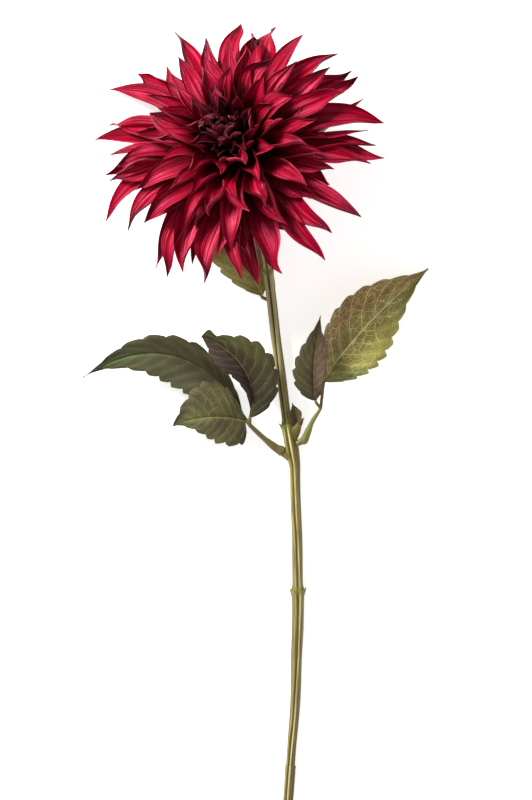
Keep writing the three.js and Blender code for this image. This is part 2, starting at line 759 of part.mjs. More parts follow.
const stem = fuse([
  stemSkin(0),
  pegSolid(LEFT_PEG),
  pegSolid(RIGHT_PEG),
  branchTo(STUB_FOOT.from, "stub_leaf", STUB_FOOT.radius),
  branchTo(BACK_FOOT.from, "back_leaf", BACK_FOOT.radius),
]);
const calyx = largest(fuse([calyxCup(0), ...bracts()]).subtract(stemSkin(GAP)));
const redPetals = [
  ...listedPetals(RIM_TIPS, RIM),
  ...listedPetals(MIDDLE_TIPS, MIDDLE),
  ...listedPetals(INNER_TIPS, INNER),
  ...shortPetals(),
  ...underPetals(),
  ...restingPetals(),
];
const bloom = largest(
  fuse([core(), ...redPetals.map(petalSolid)])
    .subtract(goblet(GAP))
    .subtract(calyxCup(GAP))
    .subtract(calyx)
    .subtract(stemSkin(STEM_CLEAR)),
);
const bud = turned(BUD_PROFILE, BUD_SEGMENTS);
const heart = largest(fuse([bud, ...heartPetals().map(petalSolid)]).intersect(goblet(0)));

const group = new THREE.Group();

function add(name, solid, color, roughness) {
  const mesh = new THREE.Mesh(geometryOf(solid), surface(color, roughness));
  mesh.name = name;
  group.add(mesh);
}

add("bloom", bloom, CRIMSON, CLOTH);
add("heart", heart, MAROON, CLOTH);
add("calyx", calyx, BRACT_GREEN, WAXY);
add("stem", stem, STEM_OLIVE, WAXY);
add("left_stalk", leftStalk(), STEM_OLIVE, WAXY);
add("right_stalk", rightStalk(), STEM_OLIVE, WAXY);
for (const [name, leaf] of Object.entries(LEAVES)) {
  add(name, leafSolid(leaf), LEAF_GREEN, CLOTH);
}

// The origin is under the middle of the whole flower, on the surface.
const box = new THREE.Box3().setFromObject(group);
group.position.set(-(box.min.x + box.max.x) / 2, -(box.min.y + box.max.y) / 2, -box.min.z);

export default group;
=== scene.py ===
"""A cut dahlia lying on a pale floor: fine petals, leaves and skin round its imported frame.

Lengths are in millimetres round the bloom's centre, as in the part's source. X runs across, Y along the
stem towards the bloom, and Z up from the floor. SHIFT takes them to the frame's own origin.
"""

import math

import bpy
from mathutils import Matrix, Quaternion, Vector


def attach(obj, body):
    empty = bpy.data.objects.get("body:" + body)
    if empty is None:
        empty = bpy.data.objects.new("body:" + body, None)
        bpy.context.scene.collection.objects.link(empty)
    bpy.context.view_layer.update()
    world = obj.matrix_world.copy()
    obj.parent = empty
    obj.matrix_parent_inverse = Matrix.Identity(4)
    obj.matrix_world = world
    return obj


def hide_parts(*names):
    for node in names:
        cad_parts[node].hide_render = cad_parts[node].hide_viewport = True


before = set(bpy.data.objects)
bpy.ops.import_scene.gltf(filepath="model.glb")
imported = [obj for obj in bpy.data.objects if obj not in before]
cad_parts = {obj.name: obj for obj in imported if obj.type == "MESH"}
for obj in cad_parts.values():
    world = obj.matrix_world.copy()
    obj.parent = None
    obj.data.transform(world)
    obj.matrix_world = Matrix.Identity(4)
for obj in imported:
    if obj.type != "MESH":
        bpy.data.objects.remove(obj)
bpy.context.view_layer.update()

MM = 0.001

# The bloom, as in the part
BLOOM_RADIUS = 100
CENTRE_HEIGHT = 50
FACE_TILT = math.radians(25)
FACE_TOWARDS = math.radians(131)
DOME_TOP = 50
DOME_ROUNDS = 5
CORE_RADIUS = 18
CORE_DEPTH = 13
CORE_BACK = -9
GAP = 0.3

CENTRE = Vector((0, 0, CENTRE_HEIGHT))
AXIS = Vector(
    (
        math.sin(FACE_TILT) * math.cos(FACE_TOWARDS),
        math.sin(FACE_TILT) * math.sin(FACE_TOWARDS),
        math.cos(FACE_TILT),
    )
)
UP = Vector((0, 0, 1))


def seeded(seed):
    """Draws from -1 to 1, the same ones as in the part's source."""
    state = seed

    def draw():
        nonlocal state
        state = (state * 1664525 + 1013904223) % 2**32
        return state / 2**31 - 1

    return draw


def mix(a, b, share):
    return a + (b - a) * share


def clamp(value, low=0, high=1):
    return max(low, min(high, value))


def smoothstep(value, low, high):
    share = clamp((value - low) / (high - low))
    return share * share * (3 - 2 * share)


def turned(vector, axis, angle):
    return Quaternion(axis, angle) @ vector


class Bezier:
    """A cubic curve through its first and last points."""

    def __init__(self, *points):
        self.points = [Vector(point) for point in points]

    def point(self, t):
        a, b, c, d = self.points
        u = 1 - t
        return a * u**3 + b * (3 * u * u * t) + c * (3 * u * t * t) + d * t**3

    def tangent(self, t):
        a, b, c, d = self.points
        u = 1 - t
        return ((b - a) * (u * u) + (c - b) * (2 * u * t) + (d - c) * (t * t)).normalized()


def catmull(points, share):
    """The point and direction at a share of a smooth curve through points."""
    spans = len(points) - 1
    place = clamp(share) * spans
    span = min(int(place), spans - 1)
    w = place - span
    b, c = points[span], points[span + 1]
    a = points[span - 1] if span else b * 2 - c
    d = points[span + 2] if span + 2 <= spans else c * 2 - b
    start, finish = (c - a) / 2, (d - b) / 2
    cubic = 2 * b - 2 * c + start + finish
    square = 3 * c - 3 * b - 2 * start - finish
    point = b + start * w + square * w**2 + cubic * w**3
    slope = start + square * (2 * w) + cubic * (3 * w * w)
    return point, slope.normalized()


# The places and sways of the petals' tips, and how each group grows, as in the part

RIM_TIPS = [
    (-48, 86, 8), (-27, 80, 0), (-11, 79, 4), (-1, 92, -10), (9, 85, 5), (25, 89, -4), (43, 82, -6),
    (68, 70, -16), (64, 58, 4), (79, 55, -8), (83, 51, 6), (87, 35, 12), (100, 21, -10), (89, 15, 4),
    (94, 6, 8), (100, -6, -3), (90, -10, -8), (83, -48, 0), (62, -59, 6), (58, -77, 2), (29, -85, 12),
    (13, -94, 10), (1, -90, 4), (-28, -92, 4), (-32, -79, 12), (-41, -85, 20), (-53, -88, 16),
    (-61, -82, 18), (-67, -51, 6), (-81, -55, 20), (-97, -47, 26), (-91, -23, 4), (-95, -17, 12),
    (-92, -1, -6), (-101, 9, 10), (-94, 18, 3), (-92, 45, 14), (-74, 55, 6), (-55, 59, -4), (-45, 66, 3),
]
MIDDLE_TIPS = [
    (-25, 67, 0), (2, 73, 6), (17, 66, -6), (31, 47, 5), (72, 41, -10), (64, -6, 6), (47, 2, -12),
    (46, -24, 8), (30, -54, -4), (6, -75, 10), (-9, -70, 0), (-14, -75, -8), (-38, -57, 12),
    (-66, -49, -6), (-72, -28, 8), (-86, -9, 4), (-73, 13, -8), (-64, 8, 10), (-65, 25, 0),
    (-66, 38, 8), (-46, 46, -5), (52, 24, 10), (40, 62, -6), (-55, -5, 6), (-50, -28, -8),
]
INNER_TIPS = [
    (30, 20, 16), (22, 36, -10), (24, 2, 8), (14, -21, -14), (18, -39, 8), (-5, -33, -6),
    (-19, -46, 10), (-34, -32, -8), (-37, -14, 10), (-15, -18, -12), (3, -9, 14), (-57, 30, 6),
    (-54, 15, -10), (14, 52, 8), (36, 38, -12), (-30, 58, 5), (-10, 60, -6), (-19, 47, 6),
    (-37, 36, -8), (4, 22, 10), (4, -44, 6),
]
RIM = dict(seed=11, root=0.74, wide=4.8, widen=0.05, curl=14, curl_vary=16, tiers=3, drop=3, vary=6)
MIDDLE = dict(seed=23, root=0.74, wide=4.2, widen=0.055, curl=26, curl_vary=16, tiers=2, drop=0, vary=4)
INNER = dict(seed=37, root=0.8, wide=4.4, widen=0.055, curl=38, curl_vary=18, tiers=2, drop=-2, vary=3)
SHORT = dict(seed=41, root=0.8, wide=3, widen=0.04, curl=30, curl_vary=14)
UNDER = dict(seed=53, root=0.74, wide=5.4, widen=0.055, curl=14, curl_vary=14)
RESTER = {**UNDER, "seed": 67}
DARK = dict(seed=5, root=0.4, wide=2, widen=0.045, curl=22, curl_vary=22)

AROUND_HEART = dict(count=11, reach=25, height=46, sink=4, jitter=0.3)
UNDER_ROWS = [dict(count=14, reach=64, height=12, first=14), dict(count=11, reach=66, height=-20, first=12)]
UNDER_JITTER = 0.2
RESTING = dict(start=-58, stop=232, count=11, reach=66, lands=46)
SPIRAL = dict(count=21, turn=137.5, start=4, stop=27, height=50, sink=4)
GOBLET = dict(foot=6, foot_height=8, lip=26, lip_height=62, clear=3)

ROOT_FROM_TOP = (28, 98)
RISE_ABOVE_CHORD = (4, 22)
TIER_STEP = 11
RISE_PER_TIER = 7
START_REACH = 0.38
TIP_REACH = 0.36
TURN_AT_START = -0.7
TURN_AT_TIP = 1.2
VARY = dict(bend=6, width=0.12, twist=34, reach=0.055)


def out_from_axis(point):
    from_centre = point - CENTRE
    return from_centre - AXIS * from_centre.dot(AXIS)


def around_axis(angle, radius, height):
    eastward = out_from_axis(CENTRE + Vector((1, 0, 0))).normalized()
    return CENTRE + turned(eastward, AXIS, angle) * radius + AXIS * height


def over_plan(x, y, height):
    return Vector((x, y, CENTRE_HEIGHT + (height - x * AXIS.x - y * AXIS.y) / AXIS.z))


def pushed_out(point, out):
    height = (point - CENTRE).dot(AXIS)
    share = (height - GOBLET["foot_height"]) / (GOBLET["lip_height"] - GOBLET["foot_height"])
    least = mix(GOBLET["foot"], GOBLET["lip"], clamp(share)) + GOBLET["clear"]
    return point + out * max(0, least - out_from_axis(point).length)


def petal_to(tip, kind, draw, sway=0, tier=0):
    """A petal from the core to its tip, by the part's rule."""
    out = out_from_axis(tip)
    reach = clamp(out.length / BLOOM_RADIUS)
    out.normalize()
    from_top = math.radians(mix(*ROOT_FROM_TOP, reach) + TIER_STEP * tier)
    root = CENTRE + out * (kind["root"] * CORE_RADIUS * math.sin(from_top))
    root += AXIS * (kind["root"] * CORE_DEPTH * math.cos(from_top))
    chord = tip - root
    length = chord.length
    lean = math.acos(clamp(chord.dot(AXIS) / length, -1, 1))
    rise = math.radians(mix(*RISE_ABOVE_CHORD, math.sqrt(reach)) - RISE_PER_TIER * tier)
    curl = math.radians(kind["curl"] + kind["curl_vary"] * draw())
    bend = math.radians(sway + VARY["bend"] * draw())

    def leaning(angle, turn):
        return turned(out, AXIS, turn) * math.sin(angle) + AXIS * math.cos(angle)

    rising = root + leaning(lean - rise, TURN_AT_START * bend) * (START_REACH * length)
    landing = tip - leaning(lean + curl, TURN_AT_TIP * bend) * (TIP_REACH * length)
    points = [rising, landing, tip]
    if kind is not DARK:
        points = [pushed_out(point, out) for point in points]
    return dict(
        curve=Bezier(root, *points),
        side=AXIS.cross(out).normalized(),
        half=(kind["wide"] + kind["widen"] * length) * (1 + VARY["width"] * draw()),
        twist=math.radians(VARY["twist"] * draw()),
    )


def dome_tip(x, y, kind, draw):
    height = DOME_TOP / 2
    for _ in range(DOME_ROUNDS):
        reach = out_from_axis(over_plan(x, y, height)).length / BLOOM_RADIUS
        height = DOME_TOP * (1 - reach * reach) - kind["drop"]
    tip = over_plan(x, y, height + kind["vary"] * draw())
    tip.z = max(tip.z, 0)
    return tip


def listed_petals(tips, kind):
    draw = seeded(kind["seed"])
    petals = []
    for i, (x, y, sway) in enumerate(tips):
        tier = i % kind["tiers"] - (kind["tiers"] - 1) / 2
        petals.append(petal_to(dome_tip(x, y, kind, draw), kind, draw, sway, tier))
    return petals


def short_petals():
    draw = seeded(SHORT["seed"])
    ring = AROUND_HEART
    petals = []
    for i in range(ring["count"]):
        angle = 2 * math.pi * (i + ring["jitter"] * draw()) / ring["count"]
        reach = ring["reach"] * (1 + 2 * VARY["reach"] * draw())
        tip = around_axis(angle, reach, ring["height"] + ring["sink"] * draw())
        petals.append(petal_to(tip, SHORT, draw))
    return petals


def under_petals():
    draw = seeded(UNDER["seed"])
    petals = []
    for row in UNDER_ROWS:
        for i in range(row["count"]):
            angle = math.radians(row["first"] + 360 * (i + UNDER_JITTER * draw()) / row["count"])
            reach = row["reach"] * (1 + VARY["reach"] * draw())
            tip = over_plan(reach * math.cos(angle), reach * math.sin(angle), row["height"])
            tip.z = max(tip.z, 0)
            petals.append(petal_to(tip, UNDER, draw))
    return petals


def resting_petals():
    draw = seeded(RESTER["seed"])
    petals = []
    for i in range(RESTING["count"]):
        angle = math.radians(mix(RESTING["start"], RESTING["stop"], i / (RESTING["count"] - 1)))
        outward = Vector((math.cos(angle), math.sin(angle), 0))
        petal = petal_to(outward * RESTING["reach"], RESTER, draw)
        petal["curve"].points[2] = outward * RESTING["lands"]
        petals.append(petal)
    return petals


def heart_petals():
    draw = seeded(DARK["seed"])
    petals = []
    for i in range(SPIRAL["count"]):
        share = math.sqrt((i + 1) / SPIRAL["count"])
        reach = mix(SPIRAL["start"], SPIRAL["stop"], share) * (1 + 2 * VARY["reach"] * draw())
        height = SPIRAL["height"] + SPIRAL["sink"] * draw()
        tip = around_axis(math.radians(SPIRAL["turn"] * i), reach, height)
        petals.append(petal_to(tip, DARK, draw))
    return petals


# Meshes

STEM_FOOT = Vector((32.7, -458, 0))  # the middle of the stem's cut end, which the frame has too
END_DEPTH = 1


def shift_to_frame():
    """How far the frame's origin is from the bloom's centre, read at the stem's cut end."""
    places = {tuple(round(c / MM, 3) for c in v.co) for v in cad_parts["stem"].data.vertices}
    lowest = min(y for _, y, _ in places)
    ring = [Vector(place) for place in places if place[1] < lowest + END_DEPTH]
    shift = sum(ring, Vector()) / len(ring) - STEM_FOOT
    return Vector((shift.x, shift.y, 0))


SHIFT = shift_to_frame()


class Skin:
    """Gathers closed tubes of rings into one mesh, each unrolled into its own cell of the OFBake map."""

    MARGIN = 0.06  # what stays free round an unrolled tube in its cell
    CAP = 0.3  # how far the cap of a tube's end reaches past it there, in rows
    SHARP = math.radians(55)  # edges sharper than this, such as a blade's margins, stay crisp

    def __init__(self, cells):
        self.across = math.ceil(math.sqrt(cells))
        self.down = math.ceil(cells / self.across)
        self.cell = 0
        self.points, self.faces, self.unrolled, self.places, self.tones = [], [], [], [], []

    def add(self, rings, places, tones):
        """rings: points round each section. places: their (across, along). tones: their colour values."""
        first = len(self.points)
        around = len(rings[0])
        end = len(rings) - 1
        x, y = self.cell % self.across, self.cell // self.across
        self.cell += 1

        def spot(i, k):
            u = mix(self.MARGIN, 1 - self.MARGIN, k / around)
            v = mix(self.MARGIN, 1 - self.MARGIN, i / end)
            return ((x + u) / self.across, (y + v) / self.down)

        self.points += [point for ring in rings for point in ring]
        self.places += [place for ring in places for place in ring]
        self.tones += [tone for ring in tones for tone in ring]
        for i in range(end):
            for k in range(around):
                corners = [(i, k), (i + 1, k), (i + 1, k + 1), (i, k + 1)]
                self.faces.append([first + a * around + b % around for a, b in corners])
                self.unrolled += [spot(a, b) for a, b in corners]
        last = first + end * around
        for k in range(around // 2 - 1):
            mate = around - 1 - k
            start_face = [first + k, first + k + 1, first + mate - 1, first + mate]
            end_face = [last + k, last + mate, last + mate - 1, last + k + 1]
            self.cap(start_face, spot(-self.CAP, k), spot(0, k + 1))
            self.cap(end_face, spot(end, k), spot(end + self.CAP, k + 1))

    def cap(self, face, low, high):
        self.faces.append(face)
        self.unrolled += [(low[0], low[1]), (high[0], low[1]), (high[0], high[1]), (low[0], high[1])]

    def add_plain(self, rings, tone):
        """A closed tube whose places run round it and along it, in one tone."""
        around, end = len(rings[0]), len(rings) - 1
        places = [[(k / around, i / end) for k in range(around)] for i in range(len(rings))]
        self.add(rings, places, [[tone] * around for _ in rings])

    def add_blade(self, columns, rows):
        """rows: how far along each is, its points above and below, and the tones of both."""
        rings, places, tones = [], [], []
        for t, above, below, tones_above, tones_below in rows:
            spots = [((s + 1) / 2, t) for s in columns]
            rings.append(above + below[::-1])
            places.append(spots + spots[::-1])
            tones.append(tones_above + tones_below[::-1])
        self.add(rings, places, tones)

    def build(self, name, material, nodes):
        mesh = bpy.data.meshes.new(name)
        mesh.from_pydata([(point + SHIFT) * MM for point in self.points], [], self.faces)
        corners = [loop.vertex_index for loop in mesh.loops]
        for title, values in (("OFBake", self.unrolled), ("Blade", [self.places[v] for v in corners])):
            layer = mesh.uv_layers.new(name=title)
            layer.data.foreach_set("uv", [c for value in values for c in value])
        tone = mesh.color_attributes.new("Tone", "FLOAT_COLOR", "POINT")
        tone.data.foreach_set("color", [c for value in self.tones for c in (*value, 1)])
        mesh.shade_smooth()
        mesh.set_sharp_from_angle(angle=self.SHARP)
        mesh.materials.append(material)
        piece = bpy.data.objects.new(name, mesh)
        bpy.context.scene.collection.objects.link(piece)
        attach(piece, "root")
        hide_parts(*nodes)


def mirrored(halves):
    """Columns from one margin of a blade to the other, from those of its right half."""
    return [-c for c in halves[:0:-1]] + list(halves)


def rings_round_axis(profile, sides):
    """Rings round the bloom's axis, each at a radius and a height of the profile."""
    turns = [-2 * math.pi * k / sides for k in range(sides)]
    return [[around_axis(turn, radius, height) for turn in turns] for radius, height in profile]


def through(*points):
    """A path through points."""
    return [Vector(point) for point in points]


# Petals

PETAL_ROWS = 28
PETAL_COLUMNS = mirrored((0, 0.13, 0.27, 0.41, 0.55, 0.69, 0.82, 0.93, 1))
PETAL_THICK = 0.7
THIN_AT_TIP = 0.55  # shares of that thickness
THIN_AT_MARGIN = 0.5
LEAST_HALF = 0.3
PETAL_BREADTH = 1.1  # how much broader than by the part's rule, so that the pleats have room
INNER_BREADTH = 1.15
# Petals of the rim that are broader or narrower than the rule makes them, by their place in RIM_TIPS
RIM_BREADTHS = {
    3: 0.88, 4: 1.6, 5: 1.25, 12: 1.25, 13: 0.3, 14: 0.85, 17: 0.85, 19: 0.75, 28: 1.5, 30: 1.15, 33: 0.5,
    34: 0.85, 35: 1.3, 36: 0.9, 37: 1.35,
}
CLAW = 0.45  # how broad a petal's foot is beside its full breadth
TIP_BREADTH = 0.74
FOLD = dict(foot=42, middle=20, tip=16, middle_at=0.55)  # degrees that each half rises, and more at the tip
FOLD_POWER = 1.3
TAIL_FROM = 0.66  # how far along a petal its tip begins to hook, nod and twist
BOW_FROM = 0.45
PLEAT_END = 6  # the higher, the nearer to the margin the pleats end
FULL_BY = 1.05
ROLL_FROM = 0.55  # how far out a margin begins to roll up, and to tuck in by TUCK of that
TUCK_FROM = 0.75
TUCK = 0.5
HALF_FOR_PLEATS = 8  # the half width at which pleats and waves have their full depth
# How a petal varies: a middle value and the most to either side, in the order in which they are drawn
PETAL_VARIES = dict(
    pleats=(1.9, 0.5), slip=(0, 0.3), depth=(0.75, 0.25), waves=(1.4, 0.5), wave=(1, 0.6),
    left_phase=(0, math.pi), right_phase=(0, math.pi), left_roll=(0.22, 0.3), right_roll=(0.22, 0.3),
    hook=(0, 2.4), nod=(0, 3), tip_twist=(0, math.radians(95)), bow=(0, 1.3), blunt=(6.5, 2.5),
    lean=(0, 0.45), breadth=(1, 0.18), kind=(0, 1), dark=(0.8, 0.2),
)
FOOT_SHADE = (0.15, 0.74)  # along a petal, where its painted shade at the foot, for the crevices between petals, begins to fade and where it ends
HEART_SHADE = (26, 52)  # from the bloom's axis, where the dark tint round the heart, partly the inner petals' own darker red and partly painted shade, begins to fade and where it ends
TIP_SHADE = 0.05  # what is left of that tint at a petal's tip, which it falls to over TIP_CLEARS
TIP_CLEARS = (0.5, 0.85)
KNOT_SHIFT = Vector((-3, 5, 0))  # the heart's knot leans to the bloom's far side
CORE_ROWS = 10
CORE_SIDES = 28
CORE_POLE = 0.4


def petal_share(t, blunt):
    claw = mix(CLAW, 1, smoothstep(t, 0.05, 0.5))
    return claw * (1 - t**blunt) * mix(1, TIP_BREADTH, smoothstep(t, 0.7, 0.97))


def petal_fold(t):
    opened = mix(FOLD["foot"], FOLD["middle"], smoothstep(t, 0, FOLD["middle_at"]))
    return math.radians(opened + FOLD["tip"] * t * t)


def bloom_shade(point, t, dark):
    """How dark a red petal is painted: fully at its foot, as painted shade in the crevices, and near the
    heart all but its tip, partly as the inner petals' own darker red and partly as painted shade.
    """
    foot = 1 - smoothstep(t, *FOOT_SHADE)
    near = 1 - smoothstep(out_from_axis(point - KNOT_SHIFT).length, *HEART_SHADE)
    return max(foot, near * dark * mix(1, TIP_SHADE, smoothstep(t, *TIP_CLEARS)))


# Painted shade at the foot of a heart petal, fading out along it.
def heart_shade(point, t, dark):
    return (1 - smoothstep(t, 0.3, 0.85)) * dark


def add_petal(skin, petal, draw, shade):
    """A channelled, pleated blade with waved margins and a twisted tip."""
    own = {name: middle + most * draw() for name, (middle, most) in PETAL_VARIES.items()}
    phases = (own["left_phase"], own["right_phase"])
    rolls = (own["left_roll"], own["right_roll"])
    half_width = petal["half"] * PETAL_BREADTH * own["breadth"]
    rows = []
    for i in range(PETAL_ROWS + 1):
        t = i / PETAL_ROWS
        along = petal["curve"].tangent(t)
        across = (petal["side"] - along * petal["side"].dot(along)).normalized()
        tail = smoothstep(t, TAIL_FROM, 1) ** 2
        across = turned(across, along, petal["twist"] * t * t + own["tip_twist"] * tail)
        up = along.cross(across)
        bow = own["bow"] * math.sin(math.pi * smoothstep(t, BOW_FROM, 1)) * half_width / HALF_FOR_PLEATS
        middle = petal["curve"].point(t) + across * (own["hook"] * tail + bow) + up * (own["nod"] * tail)
        half = max(half_width * petal_share(t, own["blunt"]), LEAST_HALF)
        size = half / HALF_FOR_PLEATS
        fullness = math.sin(math.pi * min(t * FULL_BY, 1)) ** 0.5 * size
        thick = PETAL_THICK * mix(1, THIN_AT_TIP, t)
        above, below = [], []
        for s in PETAL_COLUMNS:
            out = abs(s)
            margin = 0 if s < 0 else 1
            roll = rolls[margin] * half
            fold = petal_fold(t) * (1 + own["lean"] * math.copysign(1, s))
            pleat = abs(math.sin(math.pi * (own["pleats"] * s + own["slip"]))) - 0.5
            wave = own["wave"] * math.sin(2 * math.pi * own["waves"] * t + phases[margin])
            lift = half * math.sin(fold) * out**FOLD_POWER
            lift += own["depth"] * fullness * pleat * (1 - out**PLEAT_END)
            lift += wave * s * s * t * size
            lift += roll * smoothstep(out, ROLL_FROM, 1) ** 2
            sideways = half * s * mix(1, math.cos(fold), out)
            sideways -= TUCK * s * roll * smoothstep(out, TUCK_FROM, 1) ** 2
            body = thick * mix(1, THIN_AT_MARGIN, s * s)
            point = middle + across * sideways + up * lift
            top = point + up * (body / 2)
            bottom = point - up * (body / 2)
            top.z = max(top.z, body)
            bottom.z = max(bottom.z, 0)
            above.append(top)
            below.append(bottom)
        darks = [shade(point, t, own["dark"]) for point in above]
        tones = [[(own["kind"], dark, under) for dark in darks] for under in (0, 1)]
        rows.append((t, above, below, *tones))
    skin.add_blade(PETAL_COLUMNS, rows)


def core_rings():
    """The core that the petals grow from."""
    profile = []
    for i in range(CORE_ROWS + 1):
        angle = math.pi * mix(-0.5, 0.5, i / CORE_ROWS)
        height = max(CORE_DEPTH * math.sin(angle), CORE_BACK)
        profile.append((max(CORE_RADIUS * math.cos(angle), CORE_POLE), height))
    return rings_round_axis(profile, CORE_SIDES)


def make_petals(material):
    rim = listed_petals(RIM_TIPS, RIM)
    for place, share in RIM_BREADTHS.items():
        rim[place]["half"] *= share
    outer = [*rim, *under_petals(), *resting_petals()]
    inner = [*listed_petals(MIDDLE_TIPS, MIDDLE), *listed_petals(INNER_TIPS, INNER), *short_petals()]
    for petal in inner[len(MIDDLE_TIPS) :]:
        petal["half"] *= INNER_BREADTH
    for name, petals, seed in (("outer_petals", outer, 101), ("inner_petals", inner, 103)):
        skin = Skin(len(petals) + 1)
        draw = seeded(seed)
        for petal in petals:
            add_petal(skin, petal, draw, bloom_shade)
        if petals is inner:
            # The core is painted wholly in the petals' foot-shade colour.
            skin.add_plain(core_rings(), (0, 1, 0))
        skin.build(name, material, ["bloom"])


# The heart

BUD_PROFILE = ((0.3, 8), (5.5, 8), (7.5, 20), (5, 32), (2.5, 36), (0.3, 37))
BUD_SIDES = 24
BROADER = 1.5  # than by the part's rule
# The tips of longer, narrower dark petals that stand up past the heart's far side
SPIKE_TIPS = [(-24, 41, 4), (-13, 46, -4), (-4, 53, 3), (2, 43, -6), (-33, 33, 6), (-18, 37, 0)]
SPIKE = dict(seed=61, drop=-6, vary=2, narrow=0.75)
# Small petals round the bud, by what each of them opens from and to
INCURVED = dict(seed=71, count=11, root=(6, 20), height=(38, 50), reach=(-3, 12), belly=(9, 12), half=6)
INCURVED_VARY = dict(height=2.5, reach=1.5, landing=0.3, tip=0.8, half=2, twist=55)
BELLY_BELOW = 14  # how far below the tip's height the belly is
LANDING = (6, 3)  # how far past the tip the curve lands, and how far above it
OPEN_NOD = 2


def incurved_petals():
    """Small petals round the bud: the innermost close over it, and the next ones open step by step."""
    ring, vary = INCURVED, INCURVED_VARY
    draw = seeded(ring["seed"])
    petals = []
    for i in range(ring["count"]):
        angle = math.radians(SPIRAL["turn"] * i)
        opening = i / (ring["count"] - 1)
        height = mix(*ring["height"], math.sqrt(opening)) + vary["height"] * draw()
        reach = mix(*ring["reach"], opening) + vary["reach"] * draw()
        root = around_axis(angle, *ring["root"])
        rising = around_axis(angle, mix(*ring["belly"], opening), height - BELLY_BELOW) + KNOT_SHIFT / 2
        turn = angle + vary["landing"] * draw()
        landing = around_axis(turn, reach + LANDING[0], height + LANDING[1]) + KNOT_SHIFT
        turn = angle + vary["tip"] * draw()
        tip = around_axis(turn, reach, height - OPEN_NOD * opening) + KNOT_SHIFT
        petal = dict(
            curve=Bezier(root, rising, landing, tip),
            side=AXIS.cross(out_from_axis(root).normalized()).normalized(),
            half=ring["half"] + vary["half"] * draw(),
            twist=math.radians(vary["twist"] * draw()),
        )
        petals.append(petal)
    return petals


def spike_petals():
    """Longer, narrower dark petals that stand up past the heart's far side."""
    draw = seeded(SPIKE["seed"])
    petals = []
    for x, y, sway in SPIKE_TIPS:
        petal = petal_to(dome_tip(x, y, SPIKE, draw), DARK, draw, sway)
        petal["half"] *= SPIKE["narrow"]
        petals.append(petal)
    return petals


def make_heart(material):
    petals = heart_petals()
    for petal in petals:
        petal["half"] *= BROADER
    petals += incurved_petals() + spike_petals()
    skin = Skin(len(petals) + 1)
    draw = seeded(107)
    for petal in petals:
        add_petal(skin, petal, draw, heart_shade)
    # The bud is painted wholly in the heart petals' foot-shade colour.
    skin.add_plain(rings_round_axis(BUD_PROFILE, BUD_SIDES), (0, 1, 0))
    skin.build("heart_petals", material, ["heart"])


# The calyx

CUP_PROFILE = ((0.4, -19.5), (4.6, -19.5), (5.4, -19), (10.2, -12.8), (10.6, -12), (10.5, -9.3), (0.4, -9.3))
CUP_SIDES = 32
BRACTS = 7
BRACT_ROWS = 12
BRACT_COLUMNS = (-1, -0.6, 0, 0.6, 1)
BRACT_SPINE = ((6, -12), (12, -12.6), (15.5, -16), (16, -22))
BRACT_HALF = 3.6
BRACT_THICK = 0.7
BRACT_CURL = 0.5


def add_bract(skin, angle, draw):
    spine = [around_axis(angle, radius, height) for radius, height in BRACT_SPINE]
    curve = Bezier(*spine)
    side = AXIS.cross(out_from_axis(spine[1]).normalized())
    rows = []
    for i in range(BRACT_ROWS + 1):
        t = i / BRACT_ROWS
        up = curve.tangent(t).cross(side)
        half = max(BRACT_HALF * math.sqrt(max(1 - t * t, 0)) * mix(1, 0.75, t), 0.2)
        row = [curve.point(t) + side * (half * s) + up * (BRACT_CURL * s * s) for s in BRACT_COLUMNS]
        above = [point + up * (BRACT_THICK / 2) for point in row]
        below = [point - up * (BRACT_THICK / 2) for point in row]
        tones = [(draw(), 0, 0)] * len(row)
        rows.append((t, above, below, tones, tones))
    skin.add_blade(BRACT_COLUMNS, rows)


def make_calyx(material):
    skin = Skin(BRACTS + 1)
    draw = seeded(109)
    skin.add_plain(rings_round_axis(CUP_PROFILE, CUP_SIDES), (0, 0, 0))
    for i in range(BRACTS):
        add_bract(skin, 2 * math.pi * (i + 0.5) / BRACTS, draw)
    skin.build("calyx_bracts", material, ["calyx"])


# The stem

STEM_ROUTE = through(
    (4, -4.6, 36.9), (7.6, -14, 25.5), (10.4, -30, 16), (13, -48, 11), (15.4, -64, 9.4), (19.1, -86, 8.4),
    (23.1, -118, 7.4), (27.1, -151, 6.4), (32.1, -187, 6), (36.8, -216, 5.6), (37.8, -230, 5.3),
    (39.8, -296, 4.9), (39.8, -328, 4.5), (38.9, -361, 4.2), (37.5, -393, 4), (34.6, -430, 3.7),
    (32.7, -458, 3.4),
)
# Each joint is a rim with a shallow well inside it, from which the next length grows.
STEM_RADII = (
    (-5, 3.2), (-9, 3.2), (-15, 2.9), (-30, 2.8), (-48, 2.8), (-66, 2.9), (-82, 3), (-83.4, 3), (-83.2, 3.5),
    (-83.8, 3.7), (-86, 3.6), (-90, 3.8), (-94, 3.7), (-96, 3.4), (-118, 3.4), (-150, 3.4), (-184, 3.3),
    (-190.5, 3.3), (-192, 3.3), (-191.8, 4.4), (-190.8, 4.9), (-190.9, 5.2), (-192, 4.9), (-194, 4.4),
    (-198, 4.4), (-204, 4.6), (-210, 4.5), (-216, 4.2), (-222, 3.8), (-228, 3.6), (-262, 3.6), (-300, 3.6),
    (-307.4, 3.6), (-309, 3.6), (-308.8, 4.3), (-307.9, 4.8), (-308.1, 5.1), (-309.4, 4.8), (-312, 4.3),
    (-320, 4.1), (-330, 4), (-361, 3.7), (-400, 3.3), (-430, 3.1), (-431.4, 3.1), (-431, 3.6),
    (-431.6, 3.75), (-434, 3.6), (-457.6, 3.5), (-458, 3.2),
)
JOINTS = (-83.4, -191.2, -308.4)  # the joints whose rims have a point on both sides
RIM_POINT = 1.8
RIM_FLARE = 0.9
RIM_REACH = 2.4
STEM_SIDES = 40
STEM_STEP = 3
HALVINGS = 30
RIDGE = 0.08
RIDGES = 5
UNEVEN = 0.05  # the share of the radius by which the stem swells and narrows, and how fast, in radians a mm
UNEVEN_RATE = 0.11
